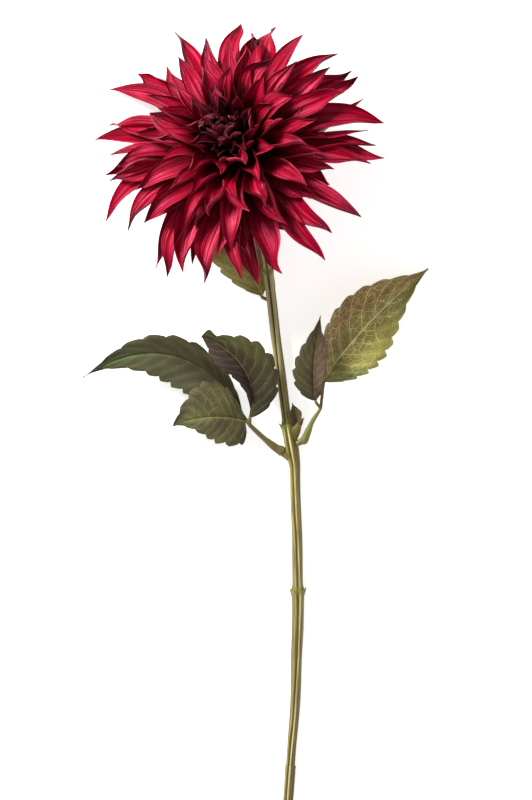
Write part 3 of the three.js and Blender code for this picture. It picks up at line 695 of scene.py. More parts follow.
FROM_BELOW = -math.pi / 2  # each section starts at its lowest point, so that its top is half way round
GROOVE_AT = 0.53  # the deepest groove runs beside the stem's top and wanders a little
GLEAMS = ((0.475, 0.032, 0.85), (0.6, 0.035, 0.45))  # painted highlights as pale lines beside it: place, half width and share
GROOVE_SWAY = 0.035
GROOVE_PERIOD = 42
# Along the stem, places run from 1 at its foot by 1 for each PLACE_LENGTH. Other rods' run from 0 to 1.
PLACE_LENGTH = 100


def stem_share(y):
    low, high = 0, 1
    for _ in range(HALVINGS):
        middle = (low + high) / 2
        if catmull(STEM_ROUTE, middle)[0].y > y:
            low = middle
        else:
            high = middle
    return low


def stem_stations():
    """The stem's radii with more of them between those that are far apart."""
    stations = []
    for (y, radius), (next_y, next_radius) in zip(STEM_RADII, STEM_RADII[1:]):
        count = max(1, round(abs(next_y - y) / STEM_STEP))
        for i in range(count):
            share = i / count
            stations.append((mix(y, next_y, share), mix(radius, next_radius, smoothstep(share, 0, 1))))
    return [*stations, STEM_RADII[-1]]


def add_stem(skin):
    rings, places, tones = [], [], []
    for y, radius in stem_stations():
        point, along = catmull(STEM_ROUTE, stem_share(y))
        across = (Vector((1, 0, 0)) - along * along.x).normalized()
        up = across.cross(along)
        ring, spots, shades = [], [], []
        by_joint = sum(math.exp(-(((y - joint) / RIM_REACH) ** 2)) for joint in JOINTS)
        sway = GROOVE_SWAY * math.sin(y / GROOVE_PERIOD)
        for k in range(STEM_SIDES):
            turn = -FROM_BELOW - 2 * math.pi * k / STEM_SIDES
            place = k / STEM_SIDES - sway
            ridge = -math.cos(2 * math.pi * RIDGES * (place - GROOVE_AT))
            size = radius * (1 + RIDGE * (ridge if ridge > 0 else -((-ridge) ** 0.5)))
            size += UNEVEN * radius * math.sin(UNEVEN_RATE * y + turn)
            corner = point + across * (size * math.cos(turn)) + up * (size * math.sin(turn))
            to_side = by_joint * math.cos(turn) ** 4
            corner -= along * (RIM_POINT * to_side)
            corner += across * (RIM_FLARE * to_side * math.copysign(1, math.cos(turn)))
            corner.z = max(corner.z, 0)
            ring.append(corner)
            spots.append((place, 1 + (y - STEM_FOOT.y) / PLACE_LENGTH))
            shades.append(((1 + ridge) / 2, 0, by_joint))
        rings.append(ring)
        places.append(spots)
        tones.append(shades)
    skin.add(rings, places, tones)


ROD_SIDES = 16
ROD_STEP = 1.5


def rod_rings(path, radii):
    """Round sections along a smooth curve through a path."""
    spans = len(path) - 1
    length = sum((b - a).length for a, b in zip(path, path[1:]))
    steps = max(spans * 2, round(length / ROD_STEP))
    rings = []
    for i in range(steps + 1):
        place = spans * i / steps
        span = min(int(place), spans - 1)
        radius = mix(radii[span], radii[span + 1], smoothstep(place - span, 0, 1))
        point, along = catmull(path, i / steps)
        across = UP.cross(along).normalized()
        up = along.cross(across)
        turns = [FROM_BELOW - 2 * math.pi * k / ROD_SIDES for k in range(ROD_SIDES)]
        rings.append([point + across * (radius * math.cos(a)) + up * (radius * math.sin(a)) for a in turns])
    return rings


LEFT_PEG = dict(
    foot=Vector((36.4, -215.5, 6)), towards=Vector((-0.8, 0.6, 0.12)).normalized(), length=8.8, radius=3.2
)
RIGHT_PEG = dict(
    foot=Vector((35.5, -206, 6)), towards=Vector((0.9, 0.42, 0.15)).normalized(), length=8.2, radius=2.4
)
PEG_RIM = 1.4  # how long a peg's rim is
PEG_TAPER = (0.9, 0.92, 1)  # shares of its radius, at its foot, before its rim and at its end
STUB_FOOT = dict(start=Vector((35, -203, 6)), radius=1.2)
BACK_FOOT = dict(start=Vector((21.5, -104, 7.4)), radius=1.3)
LAST_LENGTH = 1.6
RIB_RADIUS = 1.1
# A small spur stands out beside the third joint: its path and radii.
SPUR = (through((41.5, -312, 5.5), (43.8, -309, 5.8), (45.6, -305.8, 6)), (1.6, 1.1, 0.25))
# The sheath at the first leaves' joint ends in a flat lobe by the stub leaf: its path and half widths
SHEATH_PATH = through((36.6, -201, 8), (38.4, -195.4, 10), (41.4, -190, 10.6), (44.4, -186, 10))
SHEATH_HALVES = (3, 3.4, 1.9, 0.2)
SHEATH_FLAT = 0.28
# Shares of ridge, branch and joint, which the stem's material reads
ROD_TONE = (0.6, 0, 0)
BRANCH_TONE = (0.6, 1, 0)
SHEATH_TONE = (0.08, 0, 0.3)


def peg_end(peg, extra):
    return peg["foot"] + peg["towards"] * (peg["length"] + extra)


def branch_to(start, name, radius):
    rib = LEAVES[name]["rib"]
    end = rib.point(0) - rib.tangent(0) * (GAP / 2)
    before = end - rib.tangent(0) * LAST_LENGTH
    return rod_rings([start, before, end], [radius, radius, RIB_RADIUS])


def peg_rings(peg):
    """A peg that widens to a rounded rim."""
    path = [peg["foot"], peg_end(peg, -PEG_RIM), peg_end(peg, 0)]
    return rod_rings(path, [peg["radius"] * share for share in PEG_TAPER])


def sheath_rings():
    flat = []
    for ring in rod_rings(SHEATH_PATH, SHEATH_HALVES):
        middle = sum(ring, Vector()) / len(ring)
        flat.append([Vector((corner.x, corner.y, mix(middle.z, corner.z, SHEATH_FLAT))) for corner in ring])
    return flat


def make_stem(material):
    rods = [
        peg_rings(LEFT_PEG),
        peg_rings(RIGHT_PEG),
        branch_to(STUB_FOOT["start"], "stub_leaf", STUB_FOOT["radius"]),
        branch_to(BACK_FOOT["start"], "back_leaf", BACK_FOOT["radius"]),
        rod_rings(*SPUR),
    ]
    skin = Skin(len(rods) + 2)
    add_stem(skin)
    for rings in rods:
        skin.add_plain(rings, ROD_TONE)
    skin.add_plain(sheath_rings(), SHEATH_TONE)
    skin.build("stem_skin", material, ["stem"])


STALKS = {
    "left_stalk": dict(
        peg=LEFT_PEG,
        path=through((23.8, -206.8, 8.4), (14.8, -199.4, 11.4), (6, -191.2, 15)),
        radii=[3.6, 3.6, 2.8, 1.8, 1.5],
        branches=(("left_leaf_far", 1.3), ("left_leaf_low", 1.3), ("left_leaf_high", 1.3)),
    ),
    "right_stalk": dict(
        peg=RIGHT_PEG,
        path=through((46.8, -196.5, 9.5), (50, -189, 12), (56, -179.5, 15)),
        radii=[2.5, 2.9, 2.5, 1.7, 1.2],
        branches=(("right_leaf_large", 1.15), ("right_leaf_small", 1.1)),
    ),
}


def make_stalk(name, material):
    """A stalk from its peg to its fork, which is its path's last point, and a branch to each leaf."""
    stalk = STALKS[name]
    start = peg_end(stalk["peg"], GAP)
    straight = start + stalk["peg"]["towards"] * LAST_LENGTH
    skin = Skin(1 + len(stalk["branches"]))
    skin.add_plain(rod_rings([start, straight, *stalk["path"]], stalk["radii"]), ROD_TONE)
    for leaf, radius in stalk["branches"]:
        skin.add_plain(branch_to(stalk["path"][-1], leaf, radius), BRANCH_TONE)
    skin.build(name + "_skin", material, [name])


# The leaves: what has two values is for the left and the right half, seen along the rib

LEAVES = {
    "left_leaf_far": dict(
        rib=Bezier((0.8, -183.5, 12.5), (-22, -143, 10), (-64, -125, 34), (-111.6, -158, 1.2)),
        half=(22.5, 16.5), broad=(0.68, 0.95), fold=(8, 14), teeth=9, face=(0.1, -0.3, 1), droop=0.1,
        wave=0.8, lobes=(0, -0.35),
    ),
    "left_leaf_low": dict(
        rib=Bezier((3.4, -188.6, 16.5), (-9, -185, 21), (-30, -184, 22), (-48.3, -192, 8)),
        half=(20, 27), broad=(0.5, 0.85), fold=(4, 8), teeth=7, face=(0, 0.05, 1), droop=0.1,
        wave=0.8, lobes=(0.6, -0.2),
    ),
    "left_leaf_high": dict(
        rib=Bezier((6.4, -185.8, 18), (12, -162, 24), (0, -138, 33), (-28, -129.5, 27)),
        half=(21, 24), broad=(1.7, 0.77), fold=(58, 10), teeth=8, face=(-0.15, -0.1, 1), droop=0.14,
        wave=0.6, corner=(0, 5.5),
    ),
    "right_leaf_large": dict(
        rib=Bezier((58.6, -160.8, 15.5), (66, -144, 23), (92, -114, 31), (132, -81, 1.2)),
        half=(26.5, 26), broad=(1.06, 0.76), fold=(14, 4), teeth=10, face=(0.12, -0.16, 1), droop=0.06,
        wave=0.7, cut=(0.55, 1), lobes=(0, 0.12),
    ),
    "right_leaf_small": dict(
        rib=Bezier((52.4, -174, 19.5), (49, -162, 25), (51, -140, 34), (55.7, -114.5, 33)),
        half=(15, 14), broad=(0.7, 0.9), fold=(8, 40), teeth=7, face=(-0.1, 0, 1), droop=0.1, wave=0.5,
    ),
    "back_leaf": dict(
        rib=Bezier((14.6, -100, 3.2), (4, -80, 1.9), (-8, -48, 1.7), (-29, -8, 1.6)),
        half=(22.5, 25), broad=(0.9, 0.85), fold=(0, 0), teeth=9, face=(0, 0, 1), droop=0, wave=0,
    ),
    "stub_leaf": dict(
        rib=Bezier((39.1, -195, 8.4), (40, -190, 11), (39.5, -183, 13), (35.8, -176, 15)),
        half=(6, 4.8), broad=(1.0, 1.15), fold=(34, 16), teeth=4, face=(-0.3, 0, 1), droop=0.1, wave=0.8,
        lobes=(0, 0.7),
    ),
}
LEAF_THICK = 0.5
LEAF_COLUMNS = mirrored(
    (0, 0.03, 0.06, 0.1, 0.16, 0.24, 0.33, 0.42, 0.51, 0.6, 0.69, 0.78, 0.86, 0.93, 0.97, 1)
)
FULL_AT_FOOT = 0.85
DRAWN_AT_TIP = 1.35
TOOTH = 0.07
TOOTH_LEAD = 0.2
TOOTH_STEPS = 9
TOOTH_PEAK = 0.68
TOOTH_RISE = 0.6  # powers of a tooth's two flanks
TOOTH_FALL = 0.7
NEAR_MARGIN = 0.75  # how far out the teeth begin
SWEEP = 0.16
LOBES_END = 0.4  # where along a leaf the lobes beside its foot have ended
CORNER_AT = 0.94  # where along a leaf a folded tip has its second corner, and how far that reaches
CORNER_SPREAD = 0.045
WAVES = 13
VEINS = 9.5  # side veins over a leaf's length
VEIN_SWEEP = 0.2  # how far a side vein runs forwards by the margin, as a share of the leaf's length
VEIN_BEND = 1.2
FORK_AT = 0.5  # how far out the side veins fork, as a share of the half width
FORK_SWEEP = 0.11  # how far a fork has turned back by the margin, as a share of the leaf's length
QUILT = 0.7  # how high the cloth stands between its side veins
RIB_GROOVE = 0.5  # how deep the midrib lies, and how wide that groove and the rib below it are
RIB_GROOVE_REACH = 1.1
RIB_REACH = 1.2


def leaf_share(t, broad):
    """A leaf's width along its length: full by its foot and drawn out to its tip."""
    return math.sin(math.pi * clamp(t) ** broad) ** mix(FULL_AT_FOOT, DRAWN_AT_TIP, t)


def tooth_bulge(place):
    """How far a tooth stands out: it swells towards the leaf's tip and then drops back."""
    if place < TOOTH_PEAK:
        return (place / TOOTH_PEAK) ** TOOTH_RISE
    return ((1 - place) / (1 - TOOTH_PEAK)) ** TOOTH_FALL


def vein_nearness(s, t):
    """1 on a side vein and 0 half way to the next."""
    phase = (t - VEIN_SWEEP * abs(s) ** VEIN_BEND) * VEINS
    return abs(2 * (phase - math.floor(phase)) - 1)


def make_leaf(name, leaf, material):
    steps = TOOTH_STEPS * leaf["teeth"]
    lobes, cuts, corners = leaf.get("lobes", (0, 0)), leaf.get("cut", (1, 1)), leaf.get("corner", (0, 0))
    rows = []
    for i in range(steps + 1):
        t = i / steps
        middle, along = leaf["rib"].point(t), leaf["rib"].tangent(t)
        across = along.cross(Vector(leaf["face"])).normalized()
        up = across.cross(along)
        if i == 0:
            middle += along * (GAP / 2)
        bulge = tooth_bulge((t * leaf["teeth"]) % 1)
        above, below = [], []
        for s in LEAF_COLUMNS:
            side = 0 if s < 0 else 1
            part = abs(s)
            full = leaf["half"][side]
            half = full * leaf_share(t, leaf["broad"][side])
            half += corners[side] * math.exp(-(((t - CORNER_AT) / CORNER_SPREAD) ** 2))
            half = max(half, RIB_RADIUS * (1 - t / 2))
            near_margin = smoothstep(part, NEAR_MARGIN, 1)
            cut = 1 - 2 * TOOTH * cuts[side] * (1 - bulge) * near_margin * smoothstep(t, 0, 0.04)
            out = part * half * cut
            fold = math.radians(leaf["fold"][side]) * smoothstep(t, 0, 0.25)
            sag = leaf["droop"] * out * out / full
            ripple = leaf["wave"] * s * s * math.sin(WAVES * t + 2 * s) * min(1, 5 * t)
            lead = near_margin * bulge * TOOTH_LEAD * full / leaf["teeth"]
            quilt = QUILT * (1 - vein_nearness(s, t) ** 3) * smoothstep(half, 2, 9) * part**0.5
            quilt *= 1 - near_margin
            groove = RIB_GROOVE * math.exp(-((out / RIB_GROOVE_REACH) ** 2))
            point = middle + across * (math.copysign(out, s) * math.cos(fold))
            point += up * (out * math.sin(fold) - sag + ripple + quilt - groove)
            back = lobes[side] * (1 - smoothstep(t, 0, LOBES_END))
            point += along * (0 if i == 0 else lead + (SWEEP - back) * out)
            rib = RIB_RADIUS * (1 - 0.7 * t) * math.exp(-((out / RIB_REACH) ** 2))
            body = LEAF_THICK * mix(1, 0.6, part**4)
            point.z = max(point.z, body / 2 + rib)
            above.append(point + up * (body / 2))
            below.append(point - up * (body / 2 + rib))
        rows.append((t, above, below, [(0, 0, 0)] * len(above), [(0, 0, 1)] * len(below)))
    skin = Skin(1)
    skin.add_blade(LEAF_COLUMNS, rows)
    skin.build(name + "_blade", material, [name])


# Materials: colours are given as on a screen, from 0 to 255


def linear(red, green, blue):
    """A screen colour in linear light."""
    parts = [value / 255 for value in (red, green, blue)]
    return (*[c / 12.92 if c <= 0.04045 else ((c + 0.055) / 1.055) ** 2.4 for c in parts], 1)


class Paint:
    """A material's nodes, wired by short calls that take sockets or plain values."""

    def __init__(self, name, roughness=0.5):
        self.material = bpy.data.materials.new(name)
        self.material.use_nodes = True
        self.nodes = self.material.node_tree.nodes
        self.links = self.material.node_tree.links
        self.shader = self.nodes["Principled BSDF"]
        self.shader.inputs["Roughness"].default_value = roughness

    def wire(self, socket, value):
        if isinstance(value, bpy.types.NodeSocket):
            self.links.new(value, socket)
        else:
            socket.default_value = value

    def node(self, kind, inputs=(), output=0, **settings):
        node = self.nodes.new("ShaderNode" + kind)
        for name, value in settings.items():
            setattr(node, name, value)
        for key, value in dict(inputs).items():
            self.wire(node.inputs[key], value)
        return node.outputs[output]

    def math(self, operation, *values):
        return self.node("Math", enumerate(values), operation=operation)

    def times(self, first, *others):
        for value in others:
            first = self.math("MULTIPLY", first, value)
        return first

    def ends(self, value):
        """1 where a value is 0 or 1, and 0 half way."""
        return self.math("ABSOLUTE", self.math("MULTIPLY_ADD", value, 2.0, -1.0))

    def step(self, value, low, high):
        """0 below low, 1 above high and smooth between; low may be the higher one."""
        keys = {"Value": value, "From Min": low, "From Max": high}
        return self.node("MapRange", keys, interpolation_type="SMOOTHSTEP")

    def tint(self, base, tint, *shares, blend="MIX"):
        """A base colour with a tint over it, by the product of the shares."""
        node = self.nodes.new("ShaderNodeMix")
        node.data_type = "RGBA"
        node.blend_type = blend
        self.wire(node.inputs[0], self.times(*shares))
        for key, value in ((6, base), (7, tint)):
            self.wire(node.inputs[key], linear(*value) if isinstance(value, tuple) else value)
        return node.outputs[2]

    def place(self):
        """Across and along the blade."""
        parts = self.nodes.new("ShaderNodeSeparateXYZ")
        self.links.new(self.node("UVMap", uv_map="Blade"), parts.inputs[0])
        return parts.outputs[0], parts.outputs[1]

    def tone(self):
        parts = self.nodes.new("ShaderNodeSeparateColor")
        self.links.new(self.node("VertexColor", layer_name="Tone"), parts.inputs[0])
        return parts.outputs

    def at(self, x, y, z=0.0):
        return self.node("CombineXYZ", enumerate((x, y, z)))

    def moved(self, vector, shift):
        """A place moved by the same amount each way."""
        return self.node("VectorMath", {0: vector, 1: self.at(shift, shift)}, operation="ADD")

    def noise(self, vector, scale, detail=2.0):
        return self.node("TexNoise", {"Vector": vector, "Scale": scale, "Detail": detail})

    def bump(self, height, distance, strength, normal=None):
        keys = {"Height": height, "Distance": distance, "Strength": strength}
        if normal:
            keys["Normal"] = normal
        return self.node("Bump", keys)

    def finish(self, base, normal, roughness=None):
        self.links.new(base, self.shader.inputs["Base Color"])
        self.links.new(normal, self.shader.inputs["Normal"])
        if roughness:
            self.links.new(roughness, self.shader.inputs["Roughness"])
        return self.material


def petal_material(name, body, bright, pale, deep, root, tip, edge_highlight, back, gloss):
    """Satin petals: streaks along them, pale streaks painted as sheen, painted shade at the foot and round
    the heart, a dusky tip and a painted highlight along the thin edge.
    """
    paint = Paint(name)
    across, along = paint.place()
    kind, dark, under = paint.tone()
    out = paint.ends(across)
    own = paint.times(kind, 7.0)
    broad = paint.noise(paint.at(paint.times(across, 7.0), along, own), 1.6, 3.0)
    fine = paint.noise(paint.at(paint.times(across, 34.0), along, own), 1.7)
    patchy = paint.noise(paint.at(across, paint.times(along, 2.0), own), 1.5)

    base = paint.tint(body, bright, paint.step(broad, 0.38, 0.7))
    base = paint.tint(base, bright, paint.step(fine, 0.52, 0.7), 0.3)
    base = paint.tint(base, deep, paint.step(fine, 0.48, 0.3), 0.4)
    # Painted highlights: pale satin sheen streaks where both noises run high.
    base = paint.tint(base, pale, paint.step(fine, 0.5, 0.68), paint.step(broad, 0.5, 0.66), 0.5)
    base = paint.tint(base, deep, paint.step(patchy, 0.55, 0.25), 0.7)
    base = paint.tint(base, back, under, 0.5)
    base = paint.tint(base, back, paint.step(kind, 0.2, 1.0), paint.step(broad, 0.35, 0.6), 0.45)
    base = paint.tint(base, tip, paint.step(along, 0.72, 1.0), paint.step(kind, 0.5, -0.7), 0.85)
    # A painted highlight along the thin margin.
    base = paint.tint(base, edge_highlight, paint.step(out, 0.9, 1.0), paint.step(patchy, 0.35, 0.85))
    # Painted shade: the foot and the heart's surround darken towards root, the painted shade colour.
    foot = paint.math("ADD", dark, paint.times(paint.math("SUBTRACT", broad, 0.5), 0.5))
    base = paint.tint(base, root, paint.step(foot, 0.05, 0.85))

    ridges = paint.bump(fine, 0.0007, 0.6)
    normal = paint.bump(broad, 0.002, 0.6, ridges)
    shine = {"Value": broad, "From Min": 0.42, "From Max": 0.64, "To Min": 0.06, "To Max": 1.0}
    paint.wire(paint.shader.inputs["Specular IOR Level"], paint.node("MapRange", shine))
    paint.shader.inputs["Specular Tint"].default_value = linear(*gloss)
    rough = paint.node("MapRange", {"Value": fine, "To Min": 0.3, "To Max": 0.5})
    return paint.finish(base, normal, rough)


def vein_lines(paint, along, out, spot, net_share):
    """How near a vein is, of a midrib, forking side veins and a net, and how near a side vein is."""
    wander = paint.times(paint.math("SUBTRACT", paint.noise(spot, 11.0), 0.5), 0.03)
    swept = paint.times(paint.math("POWER", out, VEIN_BEND), VEIN_SWEEP)
    phase = paint.times(paint.math("SUBTRACT", paint.math("ADD", along, wander), swept), VEINS)
    side_vein = paint.ends(paint.math("FRACT", phase))
    turned_back = paint.times(paint.math("SUBTRACT", out, FORK_AT), FORK_SWEEP * VEINS)
    fork = paint.ends(paint.math("FRACT", paint.math("SUBTRACT", phase, turned_back)))
    forks = paint.times(paint.step(fork, 0.93, 0.985), paint.step(out, FORK_AT, FORK_AT + 0.04), 0.7)
    lines = paint.math("MAXIMUM", paint.step(side_vein, 0.925, 0.98), forks)
    lines = paint.math("MAXIMUM", lines, paint.step(out, 0.036, 0.014))
    for scale, wide, narrow, share in ((15.0, 0.04, 0.012, 1.0), (36.0, 0.07, 0.025, 0.5)):
        keys = {"Vector": paint.moved(spot, wander), "Scale": scale}
        net = paint.step(paint.node("TexVoronoi", keys, feature="DISTANCE_TO_EDGE"), wide, narrow)
        lines = paint.math("MAXIMUM", lines, paint.times(net, share * net_share))
    return lines, side_vein


def leaf_material(name, base, margin, patches, vein, vein_share, net_share):
    """Quilted leaf cloth with a pale net of veins. patches are (across, along, radius, colour, share)."""
    paint = Paint(name)
    across, along = paint.place()
    out = paint.ends(across)
    spot = paint.at(paint.times(across, 0.7), along)
    cloud = paint.noise(spot, 4.0, 4.0)
    ragged = paint.times(paint.math("SUBTRACT", cloud, 0.5), 0.35)
    lines, side_vein = vein_lines(paint, along, out, spot, net_share)

    shade = base
    centred = paint.at(paint.math("MULTIPLY_ADD", across, 2.0, -1.0), along)
    for x, y, radius, tint, share in patches:
        gap = paint.node("VectorMath", {0: centred, 1: (x, y, 0)}, 1, operation="DISTANCE")
        near = paint.step(paint.math("ADD", gap, ragged), radius, radius * 0.35)
        shade = paint.tint(shade, tint, near, share)
    shade = paint.tint(shade, margin, paint.step(out, 0.85, 1.0), 0.4)
    light = {"Value": cloud, "From Min": 0.3, "From Max": 0.7, "To Min": 0.7, "To Max": 1.15}
    between = paint.times(paint.step(side_vein, 0.75, 0.1), 0.16)
    mottle = paint.math("SUBTRACT", paint.node("MapRange", light), between)
    grey = paint.node("CombineColor", {0: mottle, 1: mottle, 2: mottle})
    shade = paint.tint(shade, grey, 1.0, blend="MULTIPLY")
    shade = paint.tint(shade, vein, lines, paint.step(cloud, 0.25, 0.55), vein_share)

    normal = paint.bump(lines, 0.0006, 0.6)
    normal = paint.bump(paint.noise(spot, 60.0), 0.0003, 0.4, normal)
    paint.shader.inputs["Specular IOR Level"].default_value = 0.22
    paint.shader.inputs["Sheen Weight"].default_value = 0.03
    return paint.finish(shade, normal)


def stem_material(name, body, groove, pale, brown, green, branch):
    """Moulded olive skin: painted shade in its grooves and on its flanks, painted highlights on its upper
    ridges and beside its top groove, browner in patches and greener by the joints.
    """
    paint = Paint(name, 0.42)
    around, along = paint.place()
    ridge, forked, joint = paint.tone()
    streaks = paint.noise(paint.at(paint.times(around, 14.0), along), 3.0, 3.0)
    cloud = paint.noise(paint.at(paint.times(around, 2.0), along), 3.5, 4.0)
    grain = paint.noise(paint.at(paint.times(around, 20.0), paint.times(along, 20.0)), 2.0)
    on_stem = paint.step(along, 1.0, 1.02)
    sides = paint.step(paint.math("ABSOLUTE", paint.math("SUBTRACT", around, 0.5)), 0.12, 0.24)

    # Painted shade: on the stem the grooves, where ridge is low, darken to groove; the calyx cup and some
    # bracts, whose ridge is 0 or less, take that colour all over.
    shade = paint.tint(body, groove, paint.step(ridge, 0.3, 0.0), 0.8)
    shade = paint.tint(shade, groove, paint.step(streaks, 0.48, 0.32), 0.5)
    shade = paint.tint(shade, pale, paint.step(streaks, 0.55, 0.7), 0.3)
    shade = paint.tint(shade, brown, paint.step(cloud, 0.45, 0.62), 0.8)
    # Painted light: the upper stem under the bloom is lit up with pale on its ridges, making up for the
    # bloom's shadow and standing in for a highlight.
    shade = paint.tint(shade, pale, paint.step(along, 3.7, 4.5), paint.step(ridge, 0.2, 0.7), 0.55)
    shade = paint.tint(shade, brown, paint.step(along, 3.0, 2.2), on_stem, 0.45)
    # Painted shade: the stem's flanks, away from its top, darken towards brown.
    shade = paint.tint(shade, brown, sides, 0.55)
    # Painted highlights as pale lines beside the top groove, and painted shade as a dark line along it.
    lines = [(*gleam, pale) for gleam in GLEAMS] + [(GROOVE_AT, 0.032, 0.85, groove)]
    for middle, wide, share, tint in lines:
        beside = paint.math("ABSOLUTE", paint.math("SUBTRACT", around, middle))
        near = paint.step(beside, wide, wide * 0.4)
        shade = paint.tint(shade, tint, near, paint.step(streaks, 0.38, 0.58), on_stem, share)
    shade = paint.tint(shade, green, paint.step(joint, 0.1, 0.9), 0.75)
    shade = paint.tint(shade, branch, forked, 0.7)

    normal = paint.bump(streaks, 0.0005, 0.6)
    normal = paint.bump(grain, 0.0002, 0.4, normal)
    paint.shader.inputs["Specular IOR Level"].default_value = 0.3
    return paint.finish(shade, normal)


# In each, root is the colour of the painted shade at the petals' feet and round the heart, pale that of the
# painted sheen streaks, and the edge colour that of the painted highlight along the margins.
PETAL_COLOURS = {
    "petal satin": dict(
        body=(140, 2, 32), bright=(184, 12, 56), pale=(224, 108, 128), deep=(102, 1, 24), root=(98, 9, 18),
        tip=(76, 14, 30), edge_highlight=(228, 116, 136), back=(146, 22, 48), gloss=(255, 146, 180),
    ),
    "heart satin": dict(
        body=(62, 5, 15), bright=(90, 6, 26), pale=(100, 36, 50), deep=(66, 8, 14), root=(74, 11, 14),
        tip=(92, 48, 54), edge_highlight=(176, 104, 116), back=(62, 14, 24), gloss=(210, 96, 118),
    ),
}
RUST = (140, 98, 52)
# groove is the colour of both painted shade in grooves and dark streaks, pale of both pale streaks and
# painted highlights, and brown of both brown patches and painted shade on the stem's flanks.
STEM_COLOURS = {
    "calyx skin": dict(
        body=(92, 100, 44), groove=(70, 74, 34), pale=(128, 134, 70), brown=(100, 84, 50),
        green=(92, 100, 44), branch=RUST,
    ),
    "stem skin": dict(
        body=(130, 117, 50), groove=(56, 44, 18), pale=(212, 200, 148), brown=(96, 81, 33),
        green=(120, 122, 58), branch=RUST,
    ),
    "left stalk skin": dict(
        body=(104, 98, 52), groove=(74, 66, 32), pale=(142, 138, 82), brown=(104, 80, 46),
        green=(104, 98, 52), branch=(108, 106, 54),
    ),
    "right stalk skin": dict(
        body=(116, 122, 64), groove=(82, 86, 42), pale=(160, 162, 104), brown=(122, 108, 60),
        green=(116, 122, 64), branch=RUST,
    ),
}
LEAF_COLOURS = {
    "left_leaf_far": dict(
        base=(76, 72, 46), margin=(80, 88, 54), vein=(120, 112, 70), vein_share=0.3, net_share=0.2,
        patches=[
            (0, 1, 0.55, (84, 104, 60), 0.8), (0.4, 0.1, 0.5, (42, 38, 20), 0.8),
            (-0.6, 0.5, 0.5, (94, 94, 66), 0.6),
        ],
    ),
    "left_leaf_low": dict(
        base=(75, 71, 40), margin=(80, 84, 54), vein=(146, 138, 84), vein_share=0.6, net_share=0.5,
        patches=[(0, 0.9, 0.5, (90, 96, 54), 0.7), (-0.4, 0.15, 0.5, (70, 60, 40), 0.7)],
    ),
    "left_leaf_high": dict(
        base=(58, 46, 32), margin=(74, 78, 44), vein=(140, 134, 94), vein_share=0.55, net_share=0.15,
        patches=[
            (0.7, 0.75, 0.5, (84, 86, 40), 0.7), (-0.6, 0.5, 0.7, (76, 66, 60), 0.6),
            (0.5, 0.1, 0.5, (60, 62, 36), 0.7),
        ],
    ),
    "right_leaf_large": dict(
        base=(141, 127, 64), margin=(154, 148, 90), vein=(236, 224, 156), vein_share=0.95, net_share=0.7,
        patches=[
            (0.75, 0.42, 0.55, (184, 180, 82), 0.8), (-0.8, 0.25, 0.55, (152, 110, 80), 0.75),
            (-0.6, 0.8, 0.45, (156, 110, 56), 0.7), (0.8, 0.06, 0.35, (116, 138, 82), 0.8),
        ],
    ),
    "right_leaf_small": dict(
        base=(76, 64, 42), margin=(80, 76, 52), vein=(148, 134, 88), vein_share=0.6, net_share=0.3,
        patches=[(-0.5, 0.6, 0.6, (84, 80, 48), 0.7), (0.6, 0.5, 0.6, (96, 74, 62), 0.7)],
    ),
    # The back leaf is painted lighter, as painted light that makes up for the shadow the bloom casts on it.
    "back_leaf": dict(
        base=(142, 134, 66), margin=(150, 144, 80), vein=(206, 200, 140), vein_share=0.7, net_share=0.5,
        patches=[(0.3, 0.1, 0.4, (164, 156, 84), 0.7)],
    ),
    "stub_leaf": dict(
        base=(98, 86, 50), margin=(112, 102, 64), vein=(140, 126, 82), vein_share=0.4, net_share=0.2,
        patches=[(-0.5, 0.5, 0.6, (76, 58, 36), 0.7)],
    ),
}


def dress():
    satins = {name: petal_material(name, **colours) for name, colours in PETAL_COLOURS.items()}
    skins = {name: stem_material(name, **colours) for name, colours in STEM_COLOURS.items()}
    make_petals(satins["petal satin"])
    make_heart(satins["heart satin"])
    make_calyx(skins["calyx skin"])
    make_stem(skins["stem skin"])
    for name in STALKS:
        make_stalk(name, skins[name.replace("_", " ") + " skin"])
    for name, leaf in LEAVES.items():
        make_leaf(name, leaf, leaf_material(name.replace("_", " ") + " cloth", **LEAF_COLOURS[name]))


# The studio: the camera looks straight down, with the bloom at the top

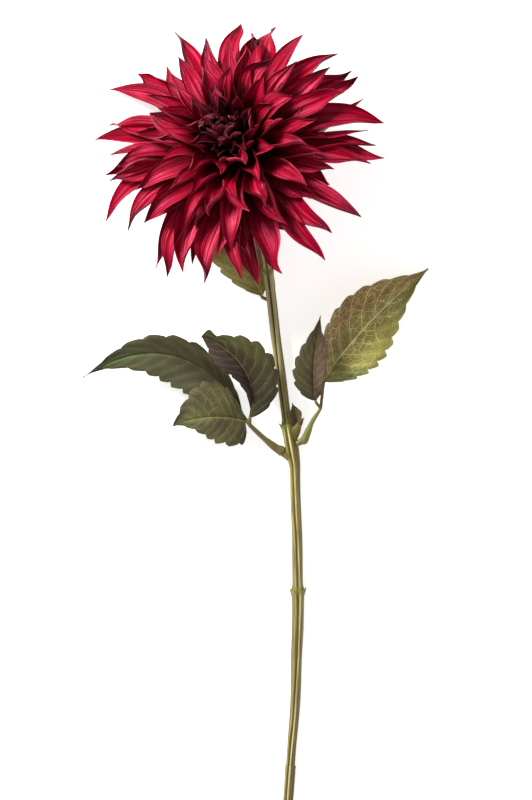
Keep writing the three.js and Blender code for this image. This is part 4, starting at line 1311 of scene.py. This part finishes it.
VIEW_CENTRE = Vector((17.5, -173.6, 0))
VIEW_HEIGHT = 560  # what the picture's height takes in, at VIEW_PLANE over the floor
VIEW_PLANE = 45
CAMERA_DISTANCE = 6000
SENSOR = 36
FLOOR_SIZE = 40  # in metres, as is the drop below the flower
FLOOR_DROP = 0.0002
FLOOR_BASE = 0.9
FLOOR_GLOW = 0.65
SKY_LIGHT = 0.42
# Square lamps that look at the bloom, with places in metres from it, sides in metres and powers in watts
LAMPS = {
    "key": dict(place=(-1.3, 1.1, 1.2), size=0.55, power=86, tint=(1, 0.98, 0.95)),
    "fill": dict(place=(1.4, -0.9, 1.6), size=2.0, power=6, tint=(1, 1, 1)),
}


def make_camera():
    data = bpy.data.cameras.new("camera")
    data.sensor_width = SENSOR
    data.lens = SENSOR * CAMERA_DISTANCE / VIEW_HEIGHT
    camera = bpy.data.objects.new("camera", data)
    camera.location = (VIEW_CENTRE + SHIFT + UP * (VIEW_PLANE + CAMERA_DISTANCE)) * MM
    bpy.context.scene.collection.objects.link(camera)
    bpy.context.scene.camera = camera


def make_light(name, place, size, power, tint):
    data = bpy.data.lights.new(name, "AREA")
    data.size = size
    data.energy = power
    data.color = tint
    lamp = bpy.data.objects.new(name, data)
    target = (CENTRE + SHIFT) * MM
    lamp.location = target + Vector(place)
    lamp.rotation_mode = "QUATERNION"
    lamp.rotation_quaternion = (target - lamp.location).to_track_quat("-Z", "Y")
    bpy.context.scene.collection.objects.link(lamp)


def make_floor():
    bpy.ops.mesh.primitive_plane_add(size=FLOOR_SIZE, location=(0, 0, -FLOOR_DROP))
    floor = bpy.context.object
    floor.name = "floor"
    paint = Paint("pale floor", 0.8)
    paint.shader.inputs["Base Color"].default_value = (FLOOR_BASE, FLOOR_BASE, FLOOR_BASE, 1)
    paint.shader.inputs["Emission Color"].default_value = (1, 1, 1, 1)
    paint.shader.inputs["Emission Strength"].default_value = FLOOR_GLOW
    floor.data.materials.append(paint.material)


def make_world():
    world = bpy.data.worlds.new("studio")
    world.use_nodes = True
    background = world.node_tree.nodes["Background"]
    background.inputs["Color"].default_value = (1, 1, 1, 1)
    background.inputs["Strength"].default_value = SKY_LIGHT
    bpy.context.scene.world = world
    bpy.context.scene.view_settings.view_transform = "Standard"


make_camera()
make_floor()
make_world()
for title, lamp in LAMPS.items():
    make_light(title, **lamp)
dress()
